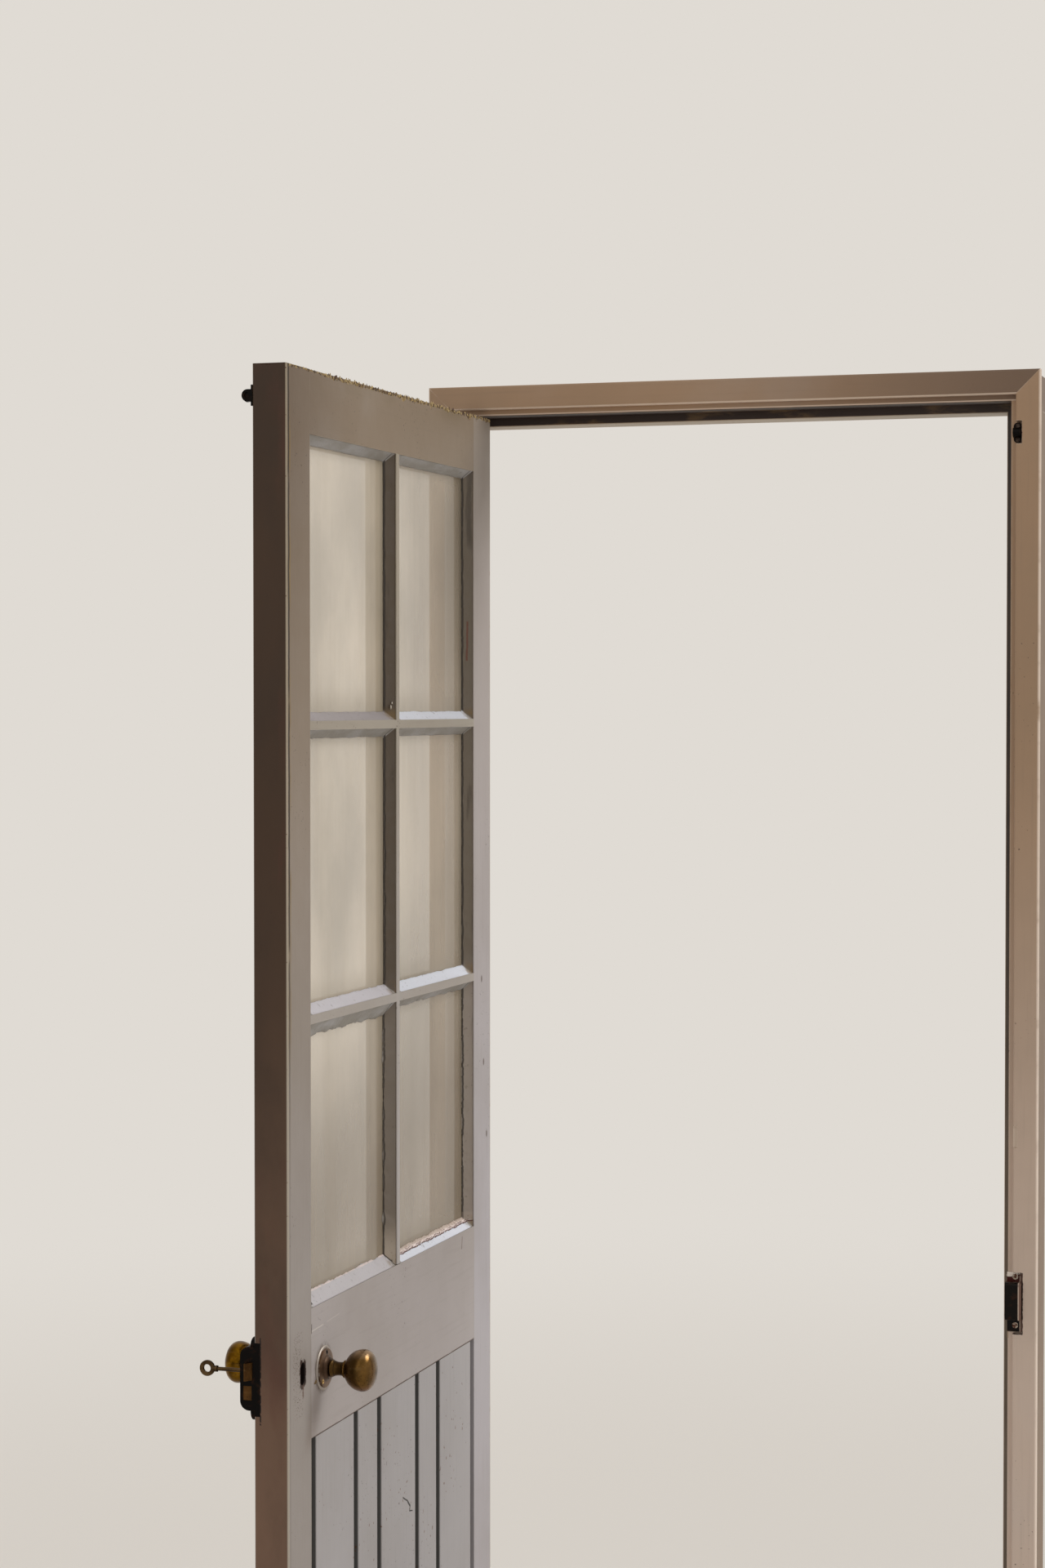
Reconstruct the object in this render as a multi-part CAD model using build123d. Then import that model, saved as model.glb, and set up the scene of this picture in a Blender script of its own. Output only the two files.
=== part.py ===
from build123d import *
from math import cos, radians, sin, sqrt
import os

# A half-glazed boarded door hung on a rebated timber frame, standing open at a right angle.
# World frame in millimetres: +X right along the wall, +Y outdoors, +Z up, with the origin in
# the middle of the sill's underside. The leaf has a frame of its own: x from its hinge edge,
# y from its indoor face towards the outdoor face, z from its bottom edge.

# Leaf
LEAF_WIDTH = 813.0
LEAF_HEIGHT = 2032.0
LEAF_THICK = 44.0
OPEN_ANGLE = 90.0
HINGE_STILE = 78.0
LOCK_STILE = 81.0
TOP_RAIL = 81.5
LOCK_RAIL = 165.0
LOCK_RAIL_TOP = 847.5
BOTTOM_RAIL = 200.0
REBATE_DEPTH = 19.0
LEDGE = 11.0
OVOLO = 8.0
QUIRK = 1.0
EASE = 1.2

# Joints of the leaf
TENON_THICK = 13.0
TENON_SETBACK = 9.5
TENON_LONG = 60.0
TENON_SHOULDER = 6.0
TENON_SPLIT = 70.0
TENON_END_GAP = 1.5
TENON_FIT = 0.1
HAUNCH = 22.0

# Glazing
BAR_FACE = 11.4
BAR_TENON_LONG = 14.0
BAR_TENON_THICK = 8.0
PANE_ROWS = 3
GLASS_THICK = 4.0
GLASS_EDGE_GAP = 2.0
PUTTY_SETBACK = 1.0
PUTTY_WIDE = 17.5
PUTTY_WIDEST = 21.0
PUTTY_BED = 2.0
PUTTY_BREAK = 26.0
PUTTY_BREAK_SLANT = 4.0

# Boards under the lock rail
NARROW_FLAT = 72.0
CHANNEL = 17.0
CHANNEL_DEPTH = 7.0
TONGUE = 6.0
TONGUE_THICK = 4.0
BOARD_FIT = 0.2
BOARD_TOP_GAP = 0.6
BOARD_EASE = 0.8

# Frame
SIDE_GAP = 3.0
TOP_GAP = 6.0
FLOOR_GAP = 6.0
STOP_WIDTH = 12.0
STOP_CLEAR = 2.0
FRAME_DEPTH = 100.0
JAMB_THICK = 38.0
HEAD_THICK = 38.0
SILL_THICK = 38.0
SILL_UPSTAND = 12.0
SILL_UPSTAND_FLAT = 14.0
SILL_FALL = 12.0
FRAME_EASE = 1.6
FRAME_TENON_THICK = 14.0
FRAME_TENON_WIDTH = 64.0
FRAME_TENON_LONG = 28.0

# Architraves
ARCHITRAVE_MARGIN = 9.0
ARCHITRAVE_WIDTH = 34.0
ARCHITRAVE_THICK = 15.0
ARCHITRAVE_ROUND = 2.5

# Fixing holes through the jambs
FIXING_RADIUS = 4.0
FIXING_FROM_ROOM = 23.0
FIXING_LOW = 520.0
FIXING_SPACING = 640.0
FIXING_COUNT = 3

# Butt hinges
HINGE_LONG = 100.0
FLAP_THICK = 3.0
FLAP_REACH = 30.0
PIN_THROW = 5.0
PIN_RADIUS = 3.0
PIN_FIT = 0.06
PIN_HEAD_RADIUS = 4.6
PIN_HEAD = 2.2
KNUCKLE_RADIUS = 5.5
KNUCKLES = 5
KNUCKLE_GAP = 0.3
KNUCKLE_CLEAR = 0.4
HINGE_FROM_TOP = 150.0
HINGE_FROM_BOTTOM = 225.0
HINGE_SCREW_FROM_END = 17.0
HINGE_SCREW_INSET = 9.0
HINGE_SCREW_STAGGER = 11.0

# Screws
SCREW_HEAD = 4.2
SCREW_SHANK = 2.1
SCREW_LONG = 24.0
SCREW_SLOT = 1.0
SCREW_SLOT_DEPTH = 0.9
SMALL_SCREW_HEAD = 3.2
SMALL_SCREW_SHANK = 1.6
SMALL_SCREW_LONG = 16.0

# Rim lock on the indoor face, measured from the closing edge and from the lock's middle
LOCK_LONG = 152.0
LOCK_HIGH = 80.0
LOCK_DEEP = 19.5
LOCK_BELOW_RAIL_TOP = 75.5
LOCK_WALL = 1.8
LOCK_SHOULDER = 12.0
CAP_THICK = 1.6
CAP_FIT = 0.2
FORE_END = 2.4
FORE_END_LAP = 7.6
FORE_END_HIGH = 92.0
FORE_END_DROP = 1.0
TOP_LUG = 10.0
BOTTOM_LUG = 14.0
LUG_THICK = 6.8
LUG_WIDE = 24.0
LUG_INSET = 15.0
KNOB_BACKSET = 124.0
KNOB_DROP = 8.0
KEY_BACKSET = 52.0
KEY_DROP = 2.0
COLLAR_RADIUS = 13.0
COLLAR_HIGH = 8.0
SLIDE_FIT = 0.3

# Latch bolt
LATCH_THICK = 7.6
LATCH_HIGH = 22.0
LATCH_RISE = 9.5
LATCH_FROM_FACE = 3.1
LATCH_OUT = 10.0
LATCH_HEAD_LONG = 30.0
LATCH_NOSE = 1.8
LATCH_TRAVEL = 11.0
LATCH_TAIL_THICK = 4.0
LATCH_TAIL_HIGH = 7.5
LATCH_TAIL_RISE = 15.2
LIP_THICK = 4.0
LIP_REACH = 9.5
LIP_OVERHANG = 2.0

# Follower and spindle
HUB_RADIUS = 8.0
ARM_LONG = 16.0
ARM_THICK = 5.0
ARM_CLEAR = 0.9
ARM_WIDE = 9.0
JOURNAL_RADIUS = 6.5
JOURNAL_FIT = 0.08
SPINDLE = 7.5
SPINDLE_FIT = 0.06
SPINDLE_SWING = 0.7
SOCKET_DEPTH = 16.0
SPINDLE_BORE = 11.0

# Dead bolt
BOLT_THICK = 10.9
BOLT_HIGH = 17.7
BOLT_DROP = 18.2
BOLT_FROM_FACE = 4.3
BOLT_SUNK = 0.4
BOLT_HEAD_LONG = 32.0
BOLT_THROW = 12.0
BOLT_TAIL_THICK = 4.5
BOLT_TAIL_BACK = 42.0
STUD_RADIUS = 1.6
STUD_FIT = 0.25
STUD_FROM_KEY = 23.0
LATCH_STUD_FROM_KNOB = 36.0

# Key
KEY_SHANK_RADIUS = 2.5
KEY_FIT = 0.08
KEY_BIT_REACH = 14.0
KEY_BIT_THICK = 2.5
KEY_BIT_WIDE = 9.5
KEY_BIT_FROM_CAP = 2.9
KEY_BIT_CLEAR = 1.3
KEY_BIT_BACK = 9.0
KEY_BIT_UNDER = 0.6
KEY_TIP = 3.0
BOW_RADIUS = 10.0
BOW_HOLE = 5.0
BOW_THICK = 3.2
BOW_FROM_FACE = 85.8
KEY_COLLAR_RADIUS = 4.0
KEY_COLLAR_LONG = 3.0
KEYHOLE_WIDE = 16.6
KEYHOLE_HIGH = 29.0
KEYHOLE_DROP = 1.5

# Springs in the lock
SPRING_THICK = 0.8
SPRING_WIDE = 4.0
SPRING_FOOT = 4.0
SPRING_BOW = 34.0
SPRING_CLEAR = 0.3

# Knobs and rose
KNOB_RADIUS = 26.75
KNOB_LONG = 60.8
KNOB_WIDEST = 44.5
KNOB_SHOULDER = 13.0
NECK_RADIUS = 8.6
BASE_RING_RADIUS = 11.5
BASE_RING_LONG = 4.1
COLLAR_RING_RADIUS = 11.4
COLLAR_RING_AT = 18.0
COLLAR_RING_LONG = 3.6
KNOB_GAP = 0.3
ROSE_RADIUS = 28.5
ROSE_RIM = 2.4
ROSE_STEP_RADIUS = 24.5
ROSE_STEP = 4.2
ROSE_BOSS_RADIUS = 13.0
ROSE_FLAT = 6.0
ROSE_SWELL = 3.0
ROSE_HIGH = 9.7
ROSE_SCREW_RADIUS = 20.5
ROSE_SCREW_ANGLE = 225.0

# Keep for the rim lock
KEEP_WIDE = 23.0
KEEP_HIGH = 84.5
KEEP_PROUD = 20.0
KEEP_PLATE = 3.0
KEEP_WALL = 2.5
KEEP_CLEAR = 2.0
KEEP_TOP_LUG = 12.5
KEEP_BOTTOM_LUG = 18.5
KEEP_DROP = 6.0
KEEP_RETURN = 14.0
KEEP_RETURN_THICK = 2.0
KEEP_RETURN_DOWN = 10.0
KEEP_ROUND = 4.0
KEEP_SCREW_ASIDE = 1.0
NOTCH_GAP = 1.6

# Surface bolt near the top of the leaf
TOP_BOLT_BELOW_TOP = 39.0
TOP_BOLT_PLATE = 2.3
TOP_BOLT_PLATE_HIGH = 26.0
TOP_BOLT_PLATE_LONG = 117.0
TOP_BOLT_RADIUS = 4.0
TOP_BOLT_STANDOFF = 7.0
TOP_BOLT_TRAVEL = 18.0
TOP_BOLT_LONG = 112.0
TOP_BOLT_SUNK = 1.5
TOP_BOLT_FIT = 0.08
STAPLE_LONG = 9.0
STAPLE_WALL = 3.6
PLATE_SCREW_INSET = 9.0
REAR_STAPLE_AT = 18.0
TOP_BOLT_KNOB_RADIUS = 5.5
TOP_BOLT_KNOB_STANDOFF = 19.0
TOP_BOLT_KNOB_FROM_EDGE = 31.0
TOP_BOLT_NECK = 2.8
BOLT_KEEP_WIDE = 11.4
BOLT_KEEP_HIGH = 28.6
BOLT_KEEP_FROM_REBATE = 4.5
BOLT_KEEP_PLATE = 3.0
BOLT_KEEP_BARREL = 7.0
BOLT_KEEP_SCREW_FROM_END = 4.2

# Old filled mortise on the lock side architrave
PATCH_LOW = 1029.6
PATCH_HIGH = 31.1
PATCH_WIDE = 5.7
PATCH_DEPTH = 3.0

# Places that follow from the sizes above
ROOM_FACE = -FRAME_DEPTH / 2
OUTER_FACE = FRAME_DEPTH / 2
STOP_FACE = ROOM_FACE + LEAF_THICK + STOP_CLEAR
HALF_REBATE = LEAF_WIDTH / 2 + SIDE_GAP
HALF_STOPS = HALF_REBATE - STOP_WIDTH
HALF_FRAME = HALF_REBATE + JAMB_THICK
LEAF_BOTTOM = SILL_THICK + FLOOR_GAP
HEAD_SOFFIT = LEAF_BOTTOM + LEAF_HEIGHT + TOP_GAP
HEAD_TOP = HEAD_SOFFIT + HEAD_THICK
INNER_X = HALF_REBATE + ARCHITRAVE_MARGIN
OUTER_X = INNER_X + ARCHITRAVE_WIDTH
INNER_Z = HEAD_SOFFIT + ARCHITRAVE_MARGIN
OUTER_Z = INNER_Z + ARCHITRAVE_WIDTH
PIN_X = -HALF_REBATE + SIDE_GAP / 2
PIN_Y = ROOM_FACE - PIN_THROW
LEDGE_FACE = LEAF_THICK - REBATE_DEPTH
OPENING_LOW = HINGE_STILE
OPENING_HIGH = LEAF_WIDTH - LOCK_STILE
TOP_RAIL_BOTTOM = LEAF_HEIGHT - TOP_RAIL
LOCK_RAIL_BOTTOM = LOCK_RAIL_TOP - LOCK_RAIL
BAR_MIDDLE = (OPENING_LOW + OPENING_HIGH) / 2
PANE_HIGH = (TOP_RAIL_BOTTOM - LOCK_RAIL_TOP - (PANE_ROWS - 1) * BAR_FACE) / PANE_ROWS
LOCK_MIDDLE = LOCK_RAIL_TOP - LOCK_BELOW_RAIL_TOP
KNOB_X = LEAF_WIDTH - KNOB_BACKSET
KNOB_Z = LOCK_MIDDLE - KNOB_DROP
KEY_X = LEAF_WIDTH - KEY_BACKSET
KEY_Z = LOCK_MIDDLE - KEY_DROP
COLLAR_TOP = -LOCK_DEEP - COLLAR_HIGH
ROSE_TOP = LEAF_THICK + ROSE_HIGH
SPINDLE_RADIUS = SPINDLE / sqrt(2) + SPINDLE_SWING
TOP_BOLT_Z = LEAF_HEIGHT - TOP_BOLT_BELOW_TOP
KEEP_X = HALF_REBATE - SIDE_GAP + KEEP_CLEAR
KEEP_LOW = LEAF_BOTTOM + LOCK_MIDDLE - KEEP_HIGH / 2 - KEEP_DROP
KEEP_BOX_LOW = KEEP_LOW + KEEP_BOTTOM_LUG
KEEP_BOX_TOP = KEEP_LOW + KEEP_HIGH - KEEP_TOP_LUG
BOLT_KEEP_X = HALF_REBATE + BOLT_KEEP_FROM_REBATE
BOLT_KEEP_Z = LEAF_BOTTOM + TOP_BOLT_Z


def block(x0, x1, y0, y1, z0, z1):
    """A box given by its lowest and highest corners."""
    corner = (min(x0, x1), min(y0, y1), min(z0, z1))
    size = (abs(x1 - x0), abs(y1 - y0), abs(z1 - z0))
    return Pos(*corner) * Box(*size, align=(Align.MIN, Align.MIN, Align.MIN))


def area(a0, a1, b0, b1):
    """A rectangle of a section, given by two opposite corners."""
    place = Pos(min(a0, a1), min(b0, b1))
    return place * Rectangle(abs(a1 - a0), abs(b1 - b0), align=(Align.MIN, Align.MIN))


def upright(section, z0, z1):
    """Extrudes a section drawn across X and Y."""
    return extrude(Plane.XY.offset(z0) * section, amount=z1 - z0, dir=(0, 0, 1))


def crosswise(section, x0, x1):
    """Extrudes along X a section drawn across Z (first) and Y (second)."""
    plane = Plane(origin=(x1, 0, 0), x_dir=(0, 0, 1), z_dir=(-1, 0, 0))
    return extrude(plane * section, amount=x1 - x0, dir=(-1, 0, 0))


def through(section, y0, y1):
    """Extrudes along Y a section drawn across X and Z."""
    return extrude(Plane.XZ.offset(-y1) * section, amount=y1 - y0, dir=(0, -1, 0))


def rod(x, z, radius, y0, y1):
    """A round bar along Y."""
    return through(Pos(x, z) * Circle(radius), y0, y1)


def screw(head, shank, length, slotted=True):
    """A countersunk screw, head flush with z = 0 and shank downwards."""
    cone = head - shank
    outline = Polygon((0, 0), (head, 0), (shank, -cone), (shank, -length), (0, -length), align=None)
    body = revolve(Plane.XZ * outline, Axis.Z)
    if slotted:
        body -= block(-head, head, -SCREW_SLOT / 2, SCREW_SLOT / 2, -SCREW_SLOT_DEPTH, 1)
    return body


def facing(axis, x, y, z):
    """Place for a screw whose head looks along the named axis."""
    turns = {"+x": (0, 90, 0), "-x": (0, -90, 0), "+y": (-90, 0, 0), "-y": (90, 0, 0)}
    return Pos(x, y, z) * Rot(*turns[axis])


def group(solids):
    """Several separate solids as one shape."""
    whole = Part()
    for solid in solids:
        whole += solid
    return whole


def hang(shape):
    """Takes a shape from the leaf's frame to the world, with the leaf open."""
    closed = Pos(PIN_X + SIDE_GAP / 2, ROOM_FACE, LEAF_BOTTOM)
    about_pin = Pos(PIN_X, PIN_Y, 0) * Rot(0, 0, -OPEN_ANGLE) * Pos(-PIN_X, -PIN_Y, 0)
    return about_pin * closed * shape


# Frame

def rebated_section(rebate, back):
    """Frame section across (rebate to back, Y): a stop outdoors of the rebate, arrises eased."""
    out = 1 if back > rebate else -1
    stop = rebate - out * STOP_WIDTH
    ease = out * FRAME_EASE
    return make_face(Polyline(
        (rebate + ease, ROOM_FACE),
        (back, ROOM_FACE),
        (back, OUTER_FACE),
        (stop + 2 * ease, OUTER_FACE),
        (stop, OUTER_FACE - 2 * FRAME_EASE),
        (stop, STOP_FACE + FRAME_EASE),
        (stop + ease, STOP_FACE),
        (rebate, STOP_FACE),
        (rebate, ROOM_FACE + FRAME_EASE),
        close=True,
    ))


def frame_tenon(side, z0, z1, fit=0.0):
    """Stub tenon of a jamb, or its mortise when a fit is given."""
    middle = side * (HALF_REBATE + JAMB_THICK / 2)
    half = FRAME_TENON_THICK / 2 + fit
    deep = FRAME_TENON_WIDTH / 2 + fit
    return block(middle - half, middle + half, -deep, deep, z0, z1)


def head_stock():
    return crosswise(rebated_section(HEAD_SOFFIT, HEAD_TOP), -HALF_FRAME, HALF_FRAME)


def sill_stock():
    top = SILL_THICK + SILL_UPSTAND
    section = Polygon(
        (0, ROOM_FACE),
        (SILL_THICK, ROOM_FACE),
        (SILL_THICK, STOP_FACE),
        (top, STOP_FACE),
        (top, STOP_FACE + SILL_UPSTAND_FLAT),
        (top - SILL_FALL, OUTER_FACE),
        (0, OUTER_FACE),
        align=None,
    )
    return crosswise(section, -HALF_FRAME, HALF_FRAME)


def frame_head():
    head = head_stock()
    for side in (-1, 1):
        reach = HEAD_SOFFIT + FRAME_TENON_LONG + TENON_END_GAP
        head -= frame_tenon(side, HEAD_SOFFIT - STOP_WIDTH, reach, TENON_FIT)
    return head


def sill():
    base = sill_stock()
    for side in (-1, 1):
        depth = SILL_THICK - FRAME_TENON_LONG - TENON_END_GAP
        base -= frame_tenon(side, depth, SILL_THICK + SILL_UPSTAND, TENON_FIT)
    return base


def jamb(side):
    """A jamb scribed over sill and head, with its stub tenons and its fixing holes."""
    section = rebated_section(side * HALF_REBATE, side * HALF_FRAME)
    post = upright(section, 0, HEAD_TOP)
    post = post - head_stock() - sill_stock()
    post += frame_tenon(side, SILL_THICK - FRAME_TENON_LONG, HEAD_SOFFIT + FRAME_TENON_LONG)
    for i in range(FIXING_COUNT):
        height = FIXING_LOW + i * FIXING_SPACING
        spot = Pos(height, ROOM_FACE + FIXING_FROM_ROOM) * Circle(FIXING_RADIUS)
        post -= crosswise(spot, min(side * HALF_STOPS, side * HALF_FRAME) - 1,
                          max(side * HALF_STOPS, side * HALF_FRAME) + 1)
    return post


def hinge_jamb():
    post = jamb(-1)
    for low in hinge_heights():
        post -= block(-HALF_REBATE - FLAP_THICK, -HALF_REBATE, ROOM_FACE - 1,
                      ROOM_FACE + FLAP_REACH, low, low + HINGE_LONG)
    for place in frame_hinge_screw_places():
        post -= place * screw(SCREW_HEAD, SCREW_SHANK, SCREW_LONG, False)
    return post


def lock_jamb():
    post = jamb(1) - keep_return()
    for place in keep_screw_places():
        post -= place * screw(SCREW_HEAD, SCREW_SHANK, SCREW_LONG, False)
    for place in bolt_keep_screw_places():
        post -= place * screw(SMALL_SCREW_HEAD, SMALL_SCREW_SHANK, SMALL_SCREW_LONG, False)
    return post


# Architraves

def architrave_section(inner, outer):
    """Flat architrave on the room face with both front arrises rounded."""
    board = area(inner, outer, ROOM_FACE - ARCHITRAVE_THICK, ROOM_FACE)
    front = board.vertices().group_by(Axis.Y)[0]
    return fillet(front, ARCHITRAVE_ROUND)


def mitre_wedge(side, above):
    """What lies above, or outside, the mitre line of one upper corner."""
    far = ARCHITRAVE_WIDTH
    inner = (side * INNER_X, INNER_Z)
    start = (side * (INNER_X - far), INNER_Z - far)
    end = (side * (OUTER_X + far), OUTER_Z + far)
    corner = (start[0], end[1]) if above else (end[0], start[1])
    wedge = Polygon(start, inner, end, corner, align=None)
    return through(wedge, ROOM_FACE - 2 * ARCHITRAVE_THICK, ROOM_FACE + 1)


def architrave_side(side):
    edges = sorted((side * INNER_X, side * OUTER_X))
    strip = upright(architrave_section(*edges), 0, OUTER_Z)
    return strip - mitre_wedge(side, True)


def architrave_head():
    strip = crosswise(architrave_section(INNER_Z, OUTER_Z), -OUTER_X, OUTER_X)
    return strip - mitre_wedge(-1, False) - mitre_wedge(1, False)


def architrave_lock_side():
    """Notched round both keeps, with the old filled mortise on its inner arris."""
    strip = architrave_side(1)
    front = ROOM_FACE - 2 * ARCHITRAVE_THICK
    strip -= block(INNER_X - 1, KEEP_X + KEEP_WIDE + NOTCH_GAP, front, ROOM_FACE + 1,
                   KEEP_LOW - NOTCH_GAP, KEEP_LOW + KEEP_HIGH + NOTCH_GAP)
    strip -= block(INNER_X - 1, BOLT_KEEP_X + BOLT_KEEP_WIDE + NOTCH_GAP, front, ROOM_FACE + 1,
                   BOLT_KEEP_Z - BOLT_KEEP_HIGH / 2 - NOTCH_GAP,
                   BOLT_KEEP_Z + BOLT_KEEP_HIGH / 2 + NOTCH_GAP)
    strip -= block(INNER_X - 1, INNER_X + PATCH_WIDE, front,
                   ROOM_FACE - ARCHITRAVE_THICK + PATCH_DEPTH, PATCH_LOW, PATCH_LOW + PATCH_HIGH)
    return strip


# Keeps

def keep_return():
    """Flange of the keep, let flush into the rebate."""
    return block(HALF_REBATE, HALF_REBATE + KEEP_RETURN_THICK, ROOM_FACE,
                 ROOM_FACE + KEEP_RETURN, KEEP_LOW - KEEP_RETURN_DOWN, KEEP_LOW + KEEP_HIGH)


def keep_screw_places():
    x = KEEP_X + KEEP_WIDE / 2 + KEEP_SCREW_ASIDE
    y = ROOM_FACE - KEEP_PLATE
    top = KEEP_BOX_TOP + KEEP_TOP_LUG / 2
    bottom = KEEP_BOX_LOW - KEEP_BOTTOM_LUG / 2
    return [facing("-y", x, y, top), facing("-y", x, y, bottom)]


def lock_keep():
    """Box staple: a back plate with a lug at each end, and a box open towards the leaf."""
    right = KEEP_X + KEEP_WIDE
    front = ROOM_FACE - KEEP_PROUD
    plate = block(HALF_REBATE, right, ROOM_FACE - KEEP_PLATE, ROOM_FACE, KEEP_LOW,
                  KEEP_LOW + KEEP_HIGH)
    outline = area(KEEP_BOX_LOW, KEEP_BOX_TOP, front, ROOM_FACE)
    outline = fillet(outline.vertices().group_by(Axis.Y)[0], KEEP_ROUND)
    box = crosswise(outline, KEEP_X, right)
    cavity = area(KEEP_BOX_LOW + KEEP_WALL, KEEP_BOX_TOP - KEEP_WALL, front + KEEP_WALL, ROOM_FACE + 1)
    keep = plate + box - crosswise(cavity, KEEP_X - 1, right - KEEP_WALL)
    keep += keep_return()
    for place in keep_screw_places():
        keep -= place * screw(SCREW_HEAD, SCREW_SHANK, SCREW_LONG, False)
    return keep


def bolt_keep_screw_places():
    x = BOLT_KEEP_X + BOLT_KEEP_WIDE / 2
    y = ROOM_FACE - BOLT_KEEP_PLATE
    offset = BOLT_KEEP_HIGH / 2 - BOLT_KEEP_SCREW_FROM_END
    return [facing("-y", x, y, BOLT_KEEP_Z + side * offset) for side in (-1, 1)]


def bolt_keep():
    """Small keep with rounded ends and a barrel that takes the surface bolt."""
    x = BOLT_KEEP_X + BOLT_KEEP_WIDE / 2
    outline = Pos(x, BOLT_KEEP_Z) * Rot(0, 0, 90) * SlotOverall(BOLT_KEEP_HIGH, BOLT_KEEP_WIDE)
    keep = through(outline, ROOM_FACE - BOLT_KEEP_PLATE, ROOM_FACE)
    axis_y = ROOM_FACE - TOP_BOLT_STANDOFF
    barrel = Pos(BOLT_KEEP_Z, axis_y) * Circle(BOLT_KEEP_BARREL)
    stem = area(BOLT_KEEP_Z - BOLT_KEEP_BARREL, BOLT_KEEP_Z + BOLT_KEEP_BARREL, axis_y, ROOM_FACE)
    keep += crosswise(barrel + stem, BOLT_KEEP_X, BOLT_KEEP_X + BOLT_KEEP_WIDE)
    bore = Pos(BOLT_KEEP_Z, axis_y) * Circle(TOP_BOLT_RADIUS + 2 * SLIDE_FIT)
    keep -= crosswise(bore, BOLT_KEEP_X - 1, BOLT_KEEP_X + BOLT_KEEP_WIDE + 1)
    for place in bolt_keep_screw_places():
        keep -= place * screw(SMALL_SCREW_HEAD, SMALL_SCREW_SHANK, SMALL_SCREW_LONG, False)
    return keep


# Hinges

def hinge_heights():
    """Lower end of each hinge above the origin, from the lowest up."""
    low = LEAF_BOTTOM + HINGE_FROM_BOTTOM
    high = LEAF_BOTTOM + LEAF_HEIGHT - HINGE_FROM_TOP - HINGE_LONG
    return [low, (low + high) / 2, high]


def hinge_screw_offsets():
    """Height from the hinge's middle and distance in from the face, staggered."""
    reach = HINGE_LONG / 2 - HINGE_SCREW_FROM_END
    return [
        (-reach, HINGE_SCREW_INSET),
        (0, HINGE_SCREW_INSET + HINGE_SCREW_STAGGER),
        (reach, HINGE_SCREW_INSET),
    ]


def frame_hinge_screw_places():
    places = []
    for low in hinge_heights():
        for up, inset in hinge_screw_offsets():
            z = low + HINGE_LONG / 2 + up
            places.append(facing("+x", -HALF_REBATE, ROOM_FACE + inset, z))
    return places


def leaf_hinge_screw_places():
    places = []
    for low in hinge_heights():
        for up, inset in hinge_screw_offsets():
            z = low + HINGE_LONG / 2 + up - LEAF_BOTTOM
            places.append(facing("-x", 0, inset, z))
    return places


def hinge_flap(low, side, first):
    """One flap about a pin at x = y = 0: its plate lies on the given side of the pin."""
    inner = side * SIDE_GAP / 2
    outer = inner + side * FLAP_THICK
    flap = block(inner, outer, 0, PIN_THROW + FLAP_REACH, low, low + HINGE_LONG)
    length = HINGE_LONG / KNUCKLES
    for i in range(KNUCKLES):
        z0 = low + i * length
        z1 = z0 + length
        if i % 2 == first:
            z0 += KNUCKLE_GAP / 2 if i > 0 else 0
            z1 -= KNUCKLE_GAP / 2 if i < KNUCKLES - 1 else 0
            flap += upright(Circle(KNUCKLE_RADIUS), z0, z1)
        else:
            z0 -= KNUCKLE_GAP / 2
            z1 += KNUCKLE_GAP / 2
            flap -= upright(Circle(KNUCKLE_RADIUS + KNUCKLE_CLEAR), z0, z1)
    return flap - upright(Circle(PIN_RADIUS + PIN_FIT), low - 1, low + HINGE_LONG + 1)


def frame_flap(index):
    flap = Pos(PIN_X, PIN_Y, 0) * hinge_flap(hinge_heights()[index], -1, 0)
    for place in frame_hinge_screw_places():
        flap -= place * screw(SCREW_HEAD, SCREW_SHANK, SCREW_LONG, False)
    return flap


def leaf_flap(index):
    low = hinge_heights()[index] - LEAF_BOTTOM
    flap = Pos(-SIDE_GAP / 2, -PIN_THROW, 0) * hinge_flap(low, 1, 1)
    for place in leaf_hinge_screw_places():
        flap -= place * screw(SCREW_HEAD, SCREW_SHANK, SCREW_LONG, False)
    return flap


def hinge_pins():
    """Loose pins with a shallow button head at each end."""
    pins = []
    for low in hinge_heights():
        shaft = (
            (0, low - PIN_HEAD),
            (PIN_HEAD_RADIUS / 2, low - PIN_HEAD),
            (PIN_HEAD_RADIUS, low - PIN_HEAD / 2),
            (PIN_HEAD_RADIUS, low),
            (PIN_RADIUS, low),
            (PIN_RADIUS, low + HINGE_LONG),
            (PIN_HEAD_RADIUS, low + HINGE_LONG),
            (PIN_HEAD_RADIUS, low + HINGE_LONG + PIN_HEAD / 2),
            (PIN_HEAD_RADIUS / 2, low + HINGE_LONG + PIN_HEAD),
            (0, low + HINGE_LONG + PIN_HEAD),
        )
        outline = Plane.XZ * Polygon(*shaft, align=None)
        pins.append(Pos(PIN_X, PIN_Y, 0) * revolve(outline, Axis.Z))
    return group(pins)


def frame_screws():
    screws = [p * screw(SCREW_HEAD, SCREW_SHANK, SCREW_LONG) for p in frame_hinge_screw_places()]
    screws += [p * screw(SCREW_HEAD, SCREW_SHANK, SCREW_LONG) for p in keep_screw_places()]
    small = screw(SMALL_SCREW_HEAD, SMALL_SCREW_SHANK, SMALL_SCREW_LONG)
    screws += [p * small for p in bolt_keep_screw_places()]
    return group(screws)


# Stiles, rails and bars

def ledge_section(edge, out):
    """Ledge beyond a rebated edge, its indoor corner worked to an ovolo between two quirks."""
    tip = edge + out * LEDGE
    centre = (tip - out * (OVOLO + QUIRK), OVOLO + QUIRK)
    section = area(edge, tip, 0, LEDGE_FACE)
    section -= area(centre[0], tip, 0, centre[1])
    return section + Pos(*centre) * Circle(OVOLO)


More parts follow.
